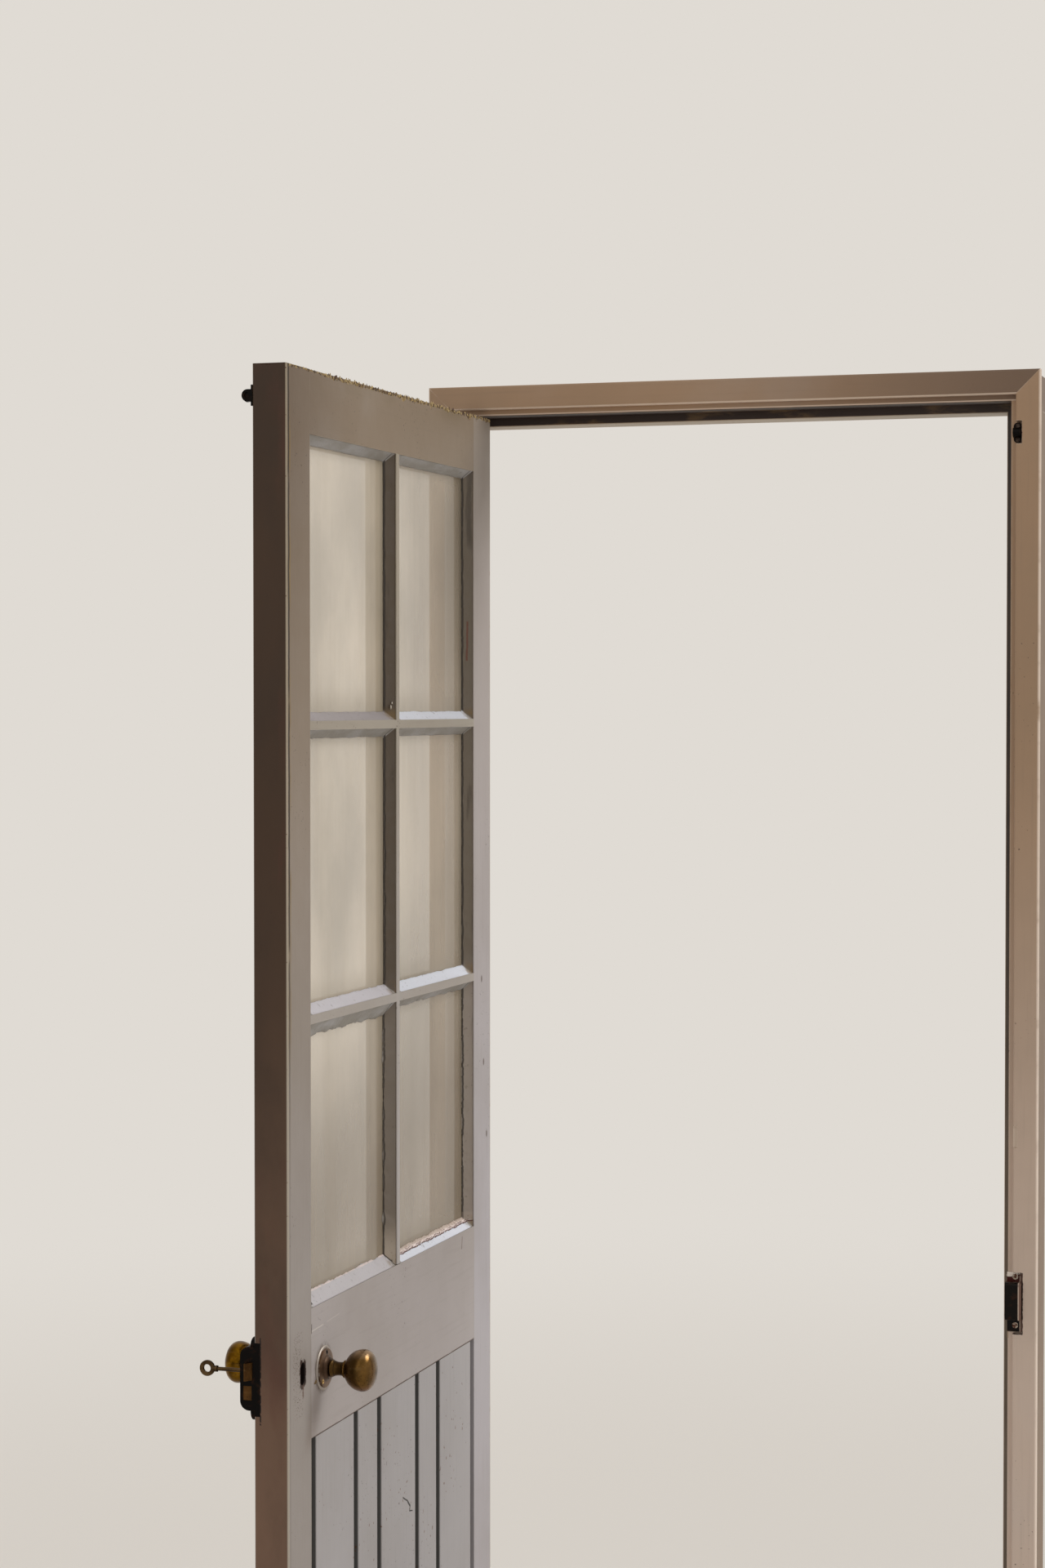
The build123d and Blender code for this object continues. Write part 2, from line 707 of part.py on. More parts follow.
def member_section(low, high, moulded_low, moulded_high):
    """Section of a leaf member across its width (first) and thickness (second)."""
    points = []
    for edge, out, moulded in ((low, -1, moulded_low), (high, 1, moulded_high)):
        ease = 0 if moulded else EASE
        side = [(edge, ease), (edge, LEAF_THICK - ease)]
        if not moulded:
            side = [(edge - out * ease, 0)] + side + [(edge - out * ease, LEAF_THICK)]
        points += side if out > 0 else side[::-1]
    section = Polygon(*points, align=None)
    if moulded_low:
        section += ledge_section(low, -1)
    if moulded_high:
        section += ledge_section(high, 1)
    return section


def tenon(x0, x1, z0, z1, thick, fit=0.0):
    """A tenon along X through the leaf's thickness, or its mortise when a fit is given."""
    y = TENON_SETBACK + TENON_THICK / 2
    half = thick / 2 + fit
    return block(x0, x1, y - half, y + half, z0 - fit, z1 + fit)


def rail_tenon_heights():
    """Lower and upper edge of each tenon of the top, lock and bottom rails."""
    split = LOCK_MIDDLE - TENON_SPLIT / 2
    top = (TOP_RAIL_BOTTOM + TENON_SHOULDER, LEAF_HEIGHT - HAUNCH)
    lock_low = (LOCK_RAIL_BOTTOM + TENON_SHOULDER, split)
    lock_high = (split + TENON_SPLIT, LOCK_RAIL_TOP - TENON_SHOULDER)
    bottom = (HAUNCH, BOTTOM_RAIL - TENON_SHOULDER)
    return {"top": [top], "lock": [lock_low, lock_high], "bottom": [bottom]}


def rail_tenons(name, fit=0.0, extra=0.0):
    """The tenons of one rail at both ends, or the mortises for them."""
    low_end = HINGE_STILE + LEDGE
    high_end = OPENING_HIGH - LEDGE
    pieces = []
    for z0, z1 in rail_tenon_heights()[name]:
        pieces.append(tenon(low_end - TENON_LONG - extra, low_end, z0, z1, TENON_THICK, fit))
        pieces.append(tenon(high_end, high_end + TENON_LONG + extra, z0, z1, TENON_THICK, fit))
    return pieces


def hinge_stile_stock():
    return upright(member_section(0, OPENING_LOW, False, True), 0, LEAF_HEIGHT)


def lock_stile_stock():
    return upright(member_section(OPENING_HIGH, LEAF_WIDTH, True, False), 0, LEAF_HEIGHT)


def top_rail_stock():
    section = member_section(TOP_RAIL_BOTTOM, LEAF_HEIGHT, True, False)
    return crosswise(section, OPENING_LOW, OPENING_HIGH)


def lock_rail_stock():
    section = member_section(LOCK_RAIL_BOTTOM, LOCK_RAIL_TOP, True, True)
    return crosswise(section, OPENING_LOW, OPENING_HIGH)


def cut_mortises(stile):
    for name in ("top", "lock", "bottom"):
        for mortise in rail_tenons(name, TENON_FIT, TENON_END_GAP):
            stile -= mortise
    for z in cross_bar_heights():
        stile -= bar_tenon(OPENING_LOW + LEDGE, -1, z, TENON_FIT)
        stile -= bar_tenon(OPENING_HIGH - LEDGE, 1, z, TENON_FIT)
    return stile


def hinge_stile():
    stile = cut_mortises(hinge_stile_stock())
    for low in hinge_heights():
        z = low - LEAF_BOTTOM
        stile -= block(-1, FLAP_THICK, -1, FLAP_REACH, z, z + HINGE_LONG)
    for place in leaf_hinge_screw_places():
        stile -= place * screw(SCREW_HEAD, SCREW_SHANK, SCREW_LONG, False)
    return stile


def closing_stile():
    """Lock stile with the worn keyhole and the recess for the lock's fore-end."""
    stile = cut_mortises(lock_stile_stock())
    stile -= fore_end_flange()
    keyhole = Pos(KEY_X, LOCK_MIDDLE - KEYHOLE_DROP)
    slot = keyhole * Rot(0, 0, 90) * SlotOverall(KEYHOLE_HIGH, KEYHOLE_WIDE)
    stile -= through(slot, -1, LEAF_THICK + 1)
    for place in lock_screw_places() + top_plate_screw_places():
        stile -= place * screw(SMALL_SCREW_HEAD, SMALL_SCREW_SHANK, SMALL_SCREW_LONG, False)
    return stile


def cut_rail(stock, name):
    """Scribes a rail over the stiles' mouldings and adds its tenons."""
    rail = stock - hinge_stile_stock() - lock_stile_stock()
    for piece in rail_tenons(name):
        rail += piece
    return rail


def top_rail():
    rail = cut_rail(top_rail_stock(), "top")
    rail -= upright_tenon(TOP_RAIL_BOTTOM - LEDGE, 1, TENON_FIT)
    for place in top_plate_screw_places():
        rail -= place * screw(SMALL_SCREW_HEAD, SMALL_SCREW_SHANK, SMALL_SCREW_LONG, False)
    return rail


def lock_rail():
    rail = cut_rail(lock_rail_stock(), "lock")
    rail -= upright_tenon(LOCK_RAIL_TOP + LEDGE, -1, TENON_FIT)
    rail -= rod(KNOB_X, KNOB_Z, SPINDLE_BORE, -1, LEAF_THICK + 1)
    for place in lock_screw_places():
        rail -= place * screw(SMALL_SCREW_HEAD, SMALL_SCREW_SHANK, SMALL_SCREW_LONG, False)
    rail -= rose_screw_shape(False)
    return rail


def bottom_rail():
    """Thinner than the stiles, so that the boards run down over it."""
    section = area(0, BOTTOM_RAIL, 0, LEDGE_FACE)
    top_edge = section.vertices().group_by(Axis.X)[-1].sort_by(Axis.Y)[0]
    section = chamfer(top_edge, OVOLO)
    return cut_rail(crosswise(section, OPENING_LOW, OPENING_HIGH), "bottom")


def upright_tenon(z, out, fit=0.0):
    """Tenon at one end of the upright bar."""
    half = BAR_FACE / 2
    y = TENON_SETBACK + TENON_THICK / 2
    thick = BAR_TENON_THICK / 2 + fit
    end = z + out * (BAR_TENON_LONG + (TENON_END_GAP if fit else 0))
    return block(BAR_MIDDLE - half - fit, BAR_MIDDLE + half + fit, y - thick, y + thick, z, end)


def bar_tenon(x, out, z, fit=0.0):
    """Tenon at one end of a cross bar."""
    end = x + out * (BAR_TENON_LONG + (TENON_END_GAP if fit else 0))
    return tenon(min(x, end), max(x, end), z, z + BAR_FACE, BAR_TENON_THICK, fit)


def cross_bar_heights():
    """Lower edge of each cross bar, from the lowest up."""
    pitch = PANE_HIGH + BAR_FACE
    return [LOCK_RAIL_TOP + i * pitch - BAR_FACE for i in range(1, PANE_ROWS)]


def upright_bar_stock():
    half = BAR_FACE / 2
    section = member_section(BAR_MIDDLE - half, BAR_MIDDLE + half, True, True)
    return upright(section, LOCK_RAIL_TOP, TOP_RAIL_BOTTOM)


def glazing_bar_upright():
    bar = upright_bar_stock() - top_rail_stock() - lock_rail_stock()
    bar += upright_tenon(TOP_RAIL_BOTTOM - LEDGE, 1)
    bar += upright_tenon(LOCK_RAIL_TOP + LEDGE, -1)
    for z in cross_bar_heights():
        for out in (-1, 1):
            bar -= bar_tenon(BAR_MIDDLE + out * (BAR_FACE / 2 + LEDGE), -out, z, TENON_FIT)
    return bar


def glazing_bar_cross(row, lock_side):
    """One short cross bar, scribed between the upright bar and a stile."""
    z = cross_bar_heights()[row]
    half = BAR_FACE / 2
    section = member_section(z, z + BAR_FACE, True, True)
    if lock_side:
        bar = crosswise(section, BAR_MIDDLE + half, OPENING_HIGH)
        ends = ((BAR_MIDDLE + half + LEDGE, -1), (OPENING_HIGH - LEDGE, 1))
    else:
        bar = crosswise(section, OPENING_LOW, BAR_MIDDLE - half)
        ends = ((OPENING_LOW + LEDGE, -1), (BAR_MIDDLE - half - LEDGE, 1))
    bar = bar - hinge_stile_stock() - lock_stile_stock() - upright_bar_stock()
    reach = min(BAR_TENON_LONG, half + LEDGE - TENON_FIT)
    for x, out in ends:
        inside_bar = abs(x - BAR_MIDDLE) < half + LEDGE + 1
        end = x + out * (reach if inside_bar else BAR_TENON_LONG)
        bar += tenon(min(x, end), max(x, end), z, z + BAR_FACE, BAR_TENON_THICK)
    return bar


# Glass and putty

def pane_span(row, lock_side):
    """Rebate of one light: lowest and highest x and z, rows counted from the lock rail up."""
    half = BAR_FACE / 2
    x0 = BAR_MIDDLE + half if lock_side else OPENING_LOW
    x1 = OPENING_HIGH if lock_side else BAR_MIDDLE - half
    z0 = LOCK_RAIL_TOP + row * (PANE_HIGH + BAR_FACE)
    return x0, x1, z0, z0 + PANE_HIGH


def glass_pane(row, lock_side):
    x0, x1, z0, z1 = pane_span(row, lock_side)
    gap = GLASS_EDGE_GAP
    return block(x0 + gap, x1 - gap, LEDGE_FACE, LEDGE_FACE + GLASS_THICK, z0 + gap, z1 - gap)


def putty(row, lock_side, widths):
    """Bedding round the glass and the bevelled fillet over it, widths given x0, x1, z0, z1."""
    x0, x1, z0, z1 = pane_span(row, lock_side)
    glass_face = LEDGE_FACE + GLASS_THICK
    top = LEAF_THICK - PUTTY_SETBACK
    ring = block(x0, x1, LEDGE_FACE, top, z0, z1)
    inner = (x0 + widths[0], x1 - widths[1], z0 + widths[2], z1 - widths[3])
    low = Plane.XZ.offset(-glass_face) * area(*inner)
    high = Plane.XZ.offset(-top) * area(x0, x1, z0, z1)
    hole = loft([low.faces()[0], high.faces()[0]])
    ring = ring - hole - glass_pane(row, lock_side)
    return ring - block(inner[0], inner[1], LEDGE_FACE - 1, glass_face, inner[2], inner[3])


def broken_putty(row, lock_side, widths):
    """A fillet with a length of its lower bevel fallen out beside the corner."""
    x0, x1, z0, z1 = pane_span(row, lock_side)
    face = LEDGE_FACE + GLASS_THICK + PUTTY_BED
    start = x0 + widths[0] + PUTTY_BREAK
    end = start + PUTTY_BREAK
    slant = PUTTY_BREAK_SLANT
    gap = Polygon((start, z0 - 1), (end, z0 - 1), (end - slant, z0 + widths[2]),
                  (start + slant, z0 + widths[2]), align=None)
    return putty(row, lock_side, widths) - through(gap, face, LEAF_THICK)


# Boards

def board_flats():
    """Lower and upper x of each board's raised flat: wide, narrow, wide, narrow, wide."""
    wide = (OPENING_HIGH - OPENING_LOW - 6 * CHANNEL - 2 * NARROW_FLAT) / 3
    flats = []
    x = OPENING_LOW + CHANNEL
    for width in (wide, NARROW_FLAT, wide, NARROW_FLAT, wide):
        flats.append((x, x + width))
        x += width + CHANNEL
    return flats


def board(index):
    """A tongued board whose edges are sunk to form half of each channel."""
    flats = board_flats()
    x0, x1 = flats[index]
    first = index == 0
    last = index == len(flats) - 1
    low = OPENING_LOW if first else x0 - (CHANNEL - BOARD_FIT) / 2
    high = OPENING_HIGH if last else x1 + (CHANNEL - BOARD_FIT) / 2
    sunk = LEAF_THICK - CHANNEL_DEPTH
    section = area(low, high, LEDGE_FACE, sunk)
    section += Polygon((x0, sunk), (x1, sunk), (x1, LEAF_THICK - BOARD_EASE),
                       (x1 - BOARD_EASE, LEAF_THICK), (x0 + BOARD_EASE, LEAF_THICK),
                       (x0, LEAF_THICK - BOARD_EASE), align=None)
    middle = (LEDGE_FACE + sunk) / 2
    half = TONGUE_THICK / 2
    if not last:
        section += area(high, high + TONGUE, middle - half, middle + half)
    if not first:
        wide = half + BOARD_FIT
        section -= area(low, low + TONGUE + BOARD_FIT, middle - wide, middle + wide)
    return upright(section, 0, LOCK_RAIL_BOTTOM - BOARD_TOP_GAP)


# Rim lock

def lock_edges():
    """Back end, fore-end, bottom and top of the lock case."""
    return (LEAF_WIDTH - LOCK_LONG, LEAF_WIDTH, LOCK_MIDDLE - LOCK_HIGH / 2,
            LOCK_MIDDLE + LOCK_HIGH / 2)


def shouldered(z0, z1, front, back, radius):
    """Section across (z, y) with its two front corners rounded."""
    outline = area(z0, z1, front, back)
    return fillet(outline.vertices().group_by(Axis.Y)[0], radius)


def fore_end_flange():
    half = FORE_END_HIGH / 2
    middle = LOCK_MIDDLE - FORE_END_DROP
    return block(LEAF_WIDTH - FORE_END, LEAF_WIDTH, 0, FORE_END_LAP, middle - half, middle + half)


def lug_centres():
    """Place of each screw lug: x, z of the case edge that it grows from, and its height."""
    x0, x1, z0, z1 = lock_edges()
    centres = []
    for x in (x0 + LUG_INSET, x1 - LUG_INSET):
        centres.append((x, z1, TOP_LUG))
        centres.append((x, z0, -BOTTOM_LUG))
    return centres


def lock_screw_places():
    return [facing("-y", x, -LUG_THICK, z + high / 2) for x, z, high in lug_centres()]


def latch_place():
    """Lower and upper z, then y towards the room and towards the leaf."""
    z = LOCK_MIDDLE + LATCH_RISE
    return z - LATCH_HIGH / 2, z + LATCH_HIGH / 2, -LATCH_FROM_FACE - LATCH_THICK, -LATCH_FROM_FACE


def bolt_place():
    z = LOCK_MIDDLE - BOLT_DROP
    return z - BOLT_HIGH / 2, z + BOLT_HIGH / 2, -BOLT_FROM_FACE - BOLT_THICK, -BOLT_FROM_FACE


def keyhole_section(radius, slot):
    """Round hole with a slot below it for the key's bit."""
    reach = KEY_BIT_REACH + slot
    half = KEY_BIT_THICK / 2 + slot
    return Pos(KEY_X, KEY_Z) * Circle(radius) + area(KEY_X - half, KEY_X + half, KEY_Z - reach, KEY_Z)


def guide_studs():
    """Fixed studs that the two bolts slide on."""
    latch_z = LOCK_MIDDLE + LATCH_TAIL_RISE
    bolt_z = LOCK_MIDDLE - BOLT_DROP
    front = -LOCK_DEEP
    back = -CAP_THICK - SLIDE_FIT
    latch_stud = rod(KNOB_X + LATCH_STUD_FROM_KNOB, latch_z, STUD_RADIUS, front, back)
    return latch_stud + rod(KEY_X - STUD_FROM_KEY, bolt_z, STUD_RADIUS, front, back)


def lock_case():
    """Hollow case with rounded shoulders, fore-end, screw lugs, knob collar and guide studs."""
    x0, x1, z0, z1 = lock_edges()
    case = crosswise(shouldered(z0, z1, -LOCK_DEEP, 0, LOCK_SHOULDER), x0, x1)
    hollow = shouldered(z0 + LOCK_WALL, z1 - LOCK_WALL, -LOCK_DEEP + LOCK_WALL, 1,
                        LOCK_SHOULDER - LOCK_WALL)
    case -= crosswise(hollow, x0 + LOCK_WALL, x1 - FORE_END)
    for x, z, high in lug_centres():
        lug = Pos(x, z) * Ellipse(LUG_WIDE / 2, abs(high))
        case += through(lug, -LUG_THICK, 0) - crosswise(hollow, x0 + LOCK_WALL, x1 - FORE_END)
    case += fore_end_flange()
    case += rod(KNOB_X, KNOB_Z, COLLAR_RADIUS, COLLAR_TOP, -LOCK_DEEP + LOCK_WALL)
    case -= rod(KNOB_X, KNOB_Z, JOURNAL_RADIUS + JOURNAL_FIT, COLLAR_TOP - 1, 0)
    case -= through(keyhole_section(KEY_SHANK_RADIUS + KEY_FIT, SLIDE_FIT), -LOCK_DEEP - 1, -LOCK_WALL)
    case += guide_studs()
    for low, high, front, back in (latch_place(), bolt_place()):
        case -= block(x1 - 2 * FORE_END, x1 + 1, front - SLIDE_FIT, back + SLIDE_FIT,
                      low - SLIDE_FIT, high + SLIDE_FIT)
    for place in lock_screw_places():
        case -= place * screw(SMALL_SCREW_HEAD, SMALL_SCREW_SHANK, SMALL_SCREW_LONG, False)
    return case


def lock_cap():
    """Flat plate that closes the case against the leaf."""
    x0, x1, z0, z1 = lock_edges()
    gap = LOCK_WALL + CAP_FIT
    cap = block(x0 + gap, x1 - FORE_END - CAP_FIT, -CAP_THICK, 0, z0 + gap, z1 - gap)
    cap -= rod(KNOB_X, KNOB_Z, SPINDLE_RADIUS, -2 * CAP_THICK, 1)
    return cap - through(keyhole_section(KEY_SHANK_RADIUS + SLIDE_FIT, SLIDE_FIT), -2 * CAP_THICK, 1)


def slide_slot(x0, x1, z, y0, y1):
    """Slot along x in a bolt's tail for a guide stud."""
    radius = STUD_RADIUS + STUD_FIT
    slot = Pos((x0 + x1) / 2, z) * SlotOverall(x1 - x0 + 2 * radius, 2 * radius)
    return through(slot, y0, y1)


def latch_bolt():
    """Bevelled head, long tail over the follower, and the lip that the follower's arm draws."""
    low, high, front, back = latch_place()
    edge = LEAF_WIDTH
    tip = edge + LATCH_OUT
    head = upright(Polygon((tip - LATCH_HEAD_LONG, front), (tip, front), (tip, front + LATCH_NOSE),
                           (edge + 1, back), (tip - LATCH_HEAD_LONG, back), align=None), low, high)
    tail_z = LOCK_MIDDLE + LATCH_TAIL_RISE
    tail_y = (front + back) / 2
    half = LATCH_TAIL_THICK / 2
    lip = KNOB_X - ARM_THICK / 2 - ARM_CLEAR
    tail = block(lip - LIP_THICK - LIP_OVERHANG, tip - LATCH_HEAD_LONG, tail_y - half, tail_y + half,
                 tail_z - LATCH_TAIL_HIGH / 2, tail_z + LATCH_TAIL_HIGH / 2)
    drop = block(lip - LIP_THICK, lip, tail_y - half, tail_y + half, KNOB_Z + LIP_REACH, tail_z)
    stud = KNOB_X + LATCH_STUD_FROM_KNOB
    slot = slide_slot(stud - STUD_FIT, stud + LATCH_TRAVEL + STUD_FIT, tail_z, tail_y - LATCH_THICK,
                      tail_y + LATCH_THICK)
    return head + tail + drop - slot


def dead_bolt():
    """Square head on a flat tail, with the notch that the key's bit works in."""
    low, high, front, back = bolt_place()
    end = LEAF_WIDTH - BOLT_SUNK
    head = block(end - BOLT_HEAD_LONG, end, front, back, low, high)
    tail_y = (front + back) / 2
    half = BOLT_TAIL_THICK / 2
    tail = block(KEY_X - BOLT_TAIL_BACK, end - BOLT_HEAD_LONG, tail_y - half, tail_y + half, low, high)
    bit = KEY_BIT_THICK / 2
    notch = block(KEY_X - bit - KEY_BIT_BACK, KEY_X + bit + KEY_BIT_CLEAR, front, back,
                  KEY_Z - KEY_BIT_REACH - KEY_BIT_UNDER, high + 1)
    stud = KEY_X - STUD_FROM_KEY
    slot = slide_slot(stud - BOLT_THROW - STUD_FIT, stud + STUD_FIT, LOCK_MIDDLE - BOLT_DROP, front, back)
    return head + tail - notch - slot


def follower():
    """Hub with a square eye, a journal in the case's collar and one arm behind the latch's lip."""
    back = -CAP_THICK - CAP_FIT
    front = -LOCK_DEEP + LOCK_WALL + CAP_FIT
    hub = rod(KNOB_X, KNOB_Z, HUB_RADIUS, front, back)
    hub += rod(KNOB_X, KNOB_Z, JOURNAL_RADIUS, COLLAR_TOP + KNOB_GAP, front)
    middle = -LATCH_FROM_FACE - LATCH_THICK / 2
    hub += block(KNOB_X - ARM_THICK / 2, KNOB_X + ARM_THICK / 2, middle - ARM_WIDE / 2,
                 min(middle + ARM_WIDE / 2, back), KNOB_Z, KNOB_Z + ARM_LONG)
    return hub - square_bar(SPINDLE / 2 + SPINDLE_FIT, COLLAR_TOP - 1, 0)


def square_bar(half, y0, y1):
    """Square bar along the knobs' axis."""
    return block(KNOB_X - half, KNOB_X + half, y0, y1, KNOB_Z - half, KNOB_Z + half)


def spindle():
    inner = COLLAR_TOP - KNOB_GAP - SOCKET_DEPTH + SLIDE_FIT
    outer = ROSE_TOP + KNOB_GAP + SOCKET_DEPTH - SLIDE_FIT
    return square_bar(SPINDLE / 2, inner, outer)


def bowed_spring(x, z, out):
    """Flat spring bent to a shallow bow between the case wall and a bolt's tail."""
    wall = LOCK_MIDDLE + out * (LOCK_HIGH / 2 - LOCK_WALL)
    reach = abs(wall - z) - SPRING_CLEAR
    half = SPRING_BOW / 2
    foot = wall - out * SPRING_THICK / 2
    crest = foot - out * (reach - SPRING_THICK)
    path = Polyline((x - half - SPRING_FOOT, foot), (x - half, foot)) + ThreePointArc(
        (x - half, foot), (x, crest), (x + half, foot)
    )
    path = path + Polyline((x + half, foot), (x + half + SPRING_FOOT, foot))
    strip = trace(path, SPRING_THICK)
    return through(strip, -SPRING_WIDE - 2 * CAP_THICK, -2 * CAP_THICK)


def lock_springs():
    """One bowed spring presses on the latch's tail, the other holds the dead bolt."""
    latch_top = LOCK_MIDDLE + LATCH_TAIL_RISE + LATCH_TAIL_HIGH / 2
    bolt_bottom = LOCK_MIDDLE - BOLT_DROP - BOLT_HIGH / 2
    upper = bowed_spring((KNOB_X + KEY_X) / 2, latch_top, 1)
    lower = bowed_spring(KEY_X - STUD_FROM_KEY / 2, bolt_bottom, -1)
    return group([upper, lower])


def key():
    """Ring bow, collared shank and a plain bit hanging down."""
    bow_y = -BOW_FROM_FACE
    bow = Circle(BOW_RADIUS) - Circle(BOW_HOLE)
    plane = Plane(origin=(KEY_X - BOW_THICK / 2, bow_y, KEY_Z), x_dir=(0, 1, 0), z_dir=(1, 0, 0))
    ring = extrude(plane * bow, amount=BOW_THICK)
    start = bow_y + (BOW_RADIUS + BOW_HOLE) / 2
    shank = rod(KEY_X, KEY_Z, KEY_SHANK_RADIUS, start, KEY_TIP)
    collar_y = bow_y + BOW_RADIUS + 1
    collar = rod(KEY_X, KEY_Z, KEY_COLLAR_RADIUS, collar_y, collar_y + KEY_COLLAR_LONG)
    half = KEY_BIT_THICK / 2
    back = -CAP_THICK - KEY_BIT_FROM_CAP
    bit = block(KEY_X - half, KEY_X + half, back - KEY_BIT_WIDE, back, KEY_Z - KEY_BIT_REACH, KEY_Z)
    return ring + shank + collar + bit


# Knobs and rose

def knob_crown():
    """Tight shoulder and flatter crown of a knob's head, as two tangent arcs."""
    rise = KNOB_LONG - KNOB_WIDEST
    inset = KNOB_RADIUS - KNOB_SHOULDER
    crown = (inset ** 2 + rise ** 2 - KNOB_SHOULDER ** 2) / (2 * (rise - KNOB_SHOULDER))
    share = KNOB_SHOULDER / (crown - KNOB_SHOULDER)
    meet = (inset * (1 + share), KNOB_WIDEST + share * (crown - rise))
    shoulder = TangentArc((KNOB_RADIUS, KNOB_WIDEST), meet, tangent=(0, 1))
    return shoulder + TangentArc(meet, (0, KNOB_LONG), tangent=shoulder % 1)


def knob_body():
    """A turned knob on its own axis, base at z = 0: ring, neck, second ring, rounded head."""
    ring_end = COLLAR_RING_AT + COLLAR_RING_LONG
    half_ring = COLLAR_RING_LONG / 2
    flare_start = (COLLAR_RING_RADIUS - 1, ring_end)
    neck = ThreePointArc(
        (BASE_RING_RADIUS - 1, BASE_RING_LONG),
        (NECK_RADIUS, (BASE_RING_LONG + COLLAR_RING_AT) / 2),
        (COLLAR_RING_RADIUS - 2, COLLAR_RING_AT),
    )
    flare = TangentArc((KNOB_RADIUS, KNOB_WIDEST), flare_start, tangent=(0, -1))
    outline = (
        Polyline((0, 0), (BASE_RING_RADIUS - 1, 0))
        + ThreePointArc((BASE_RING_RADIUS - 1, 0), (BASE_RING_RADIUS, BASE_RING_LONG / 2),
                        (BASE_RING_RADIUS - 1, BASE_RING_LONG))
        + neck
        + ThreePointArc((COLLAR_RING_RADIUS - 2, COLLAR_RING_AT),
                        (COLLAR_RING_RADIUS, COLLAR_RING_AT + half_ring),
                        flare_start)
        + flare
        + knob_crown()
        + Line((0, KNOB_LONG), (0, 0))
    )
    body = revolve(Plane.XZ * make_face(outline), Axis.Z)
    half = SPINDLE / 2 + SPINDLE_FIT
    return body - block(-half, half, -half, half, -1, SOCKET_DEPTH)


def knob_outer():
    return Pos(KNOB_X, ROSE_TOP + KNOB_GAP, KNOB_Z) * Rot(-90, 0, 0) * knob_body()


def knob_inner():
    return Pos(KNOB_X, COLLAR_TOP - KNOB_GAP, KNOB_Z) * Rot(90, 0, 0) * knob_body()


def rose_screw_spots():
    """Holes in the rose: an empty one at the top and the one that still has its screw."""
    spots = []
    for angle in (90.0, ROSE_SCREW_ANGLE):
        x = KNOB_X - ROSE_SCREW_RADIUS * cos(radians(angle))
        spots.append((x, KNOB_Z + ROSE_SCREW_RADIUS * sin(radians(angle))))
    return spots


def rose_screw_shape(slotted=True):
    """The rose's one screw, on the side of the closing edge and below the knob."""
    x, z = rose_screw_spots()[1]
    body = screw(SMALL_SCREW_HEAD, SMALL_SCREW_SHANK, SMALL_SCREW_LONG, slotted)
    return facing("+y", x, LEAF_THICK + ROSE_STEP + SCREW_SLOT_DEPTH, z) * body


def knob_rose():
    """Stepped rose domed up to the boss under the knob."""
    flat_end = (ROSE_STEP_RADIUS - ROSE_FLAT, ROSE_STEP + SCREW_SLOT_DEPTH)
    outline = (
        Polyline((SPINDLE_RADIUS, 0), (ROSE_RADIUS, 0), (ROSE_RADIUS, ROSE_RIM / 2),
                 (ROSE_RADIUS - ROSE_RIM / 2, ROSE_RIM), (ROSE_STEP_RADIUS, ROSE_RIM),
                 (ROSE_STEP_RADIUS, ROSE_STEP), flat_end)
        + ThreePointArc(flat_end, (ROSE_BOSS_RADIUS + ROSE_SWELL / 2, ROSE_HIGH - ROSE_SWELL),
                        (ROSE_BOSS_RADIUS, ROSE_HIGH))
        + Polyline((ROSE_BOSS_RADIUS, ROSE_HIGH), (SPINDLE_RADIUS, ROSE_HIGH), (SPINDLE_RADIUS, 0))
    )
    rose = revolve(Plane.XZ * make_face(outline), Axis.Z)
    rose = Pos(KNOB_X, LEAF_THICK, KNOB_Z) * Rot(-90, 0, 0) * rose
    x, z = rose_screw_spots()[0]
    rose -= rod(x, z, SMALL_SCREW_SHANK + STUD_FIT, LEAF_THICK - 1, ROSE_TOP)
    return rose - rose_screw_shape(False)


# Surface bolt

def staple_starts():
    """Lower x of the rear and the front staple."""
    rear = LEAF_WIDTH - TOP_BOLT_PLATE_LONG + REAR_STAPLE_AT
    return rear, LEAF_WIDTH - STAPLE_LONG


def top_plate_screw_places():
    places = []
    inset = TOP_BOLT_PLATE_HIGH / 2 - SMALL_SCREW_HEAD - 1
    first = LEAF_WIDTH - TOP_BOLT_PLATE_LONG + PLATE_SCREW_INSET
    last = LEAF_WIDTH - STAPLE_LONG - PLATE_SCREW_INSET
    for x in (first, last):
        for side in (-1, 1):
            places.append(facing("-y", x, -TOP_BOLT_PLATE, TOP_BOLT_Z + side * inset))
    return places


def bolt_plate():
    """Back plate with two staples that the round bolt runs in."""
    half = TOP_BOLT_PLATE_HIGH / 2
    plate = block(LEAF_WIDTH - TOP_BOLT_PLATE_LONG, LEAF_WIDTH, -TOP_BOLT_PLATE, 0,
                  TOP_BOLT_Z - half, TOP_BOLT_Z + half)
    outer = TOP_BOLT_RADIUS + STAPLE_WALL
    loop = Pos(TOP_BOLT_Z, -TOP_BOLT_STANDOFF) * Circle(outer)
    loop += area(TOP_BOLT_Z - outer, TOP_BOLT_Z + outer, -TOP_BOLT_STANDOFF, 0)
    loop -= area(TOP_BOLT_Z - outer, TOP_BOLT_Z + outer, 0, outer)
    for start in staple_starts():
        plate += crosswise(loop, start, start + STAPLE_LONG)
    bore = Pos(TOP_BOLT_Z, -TOP_BOLT_STANDOFF) * Circle(TOP_BOLT_RADIUS + TOP_BOLT_FIT)
    plate -= crosswise(bore, LEAF_WIDTH - TOP_BOLT_PLATE_LONG - 1, LEAF_WIDTH + 1)
    for place in top_plate_screw_places():
        plate -= place * screw(SMALL_SCREW_HEAD, SMALL_SCREW_SHANK, SMALL_SCREW_LONG, False)
    return plate


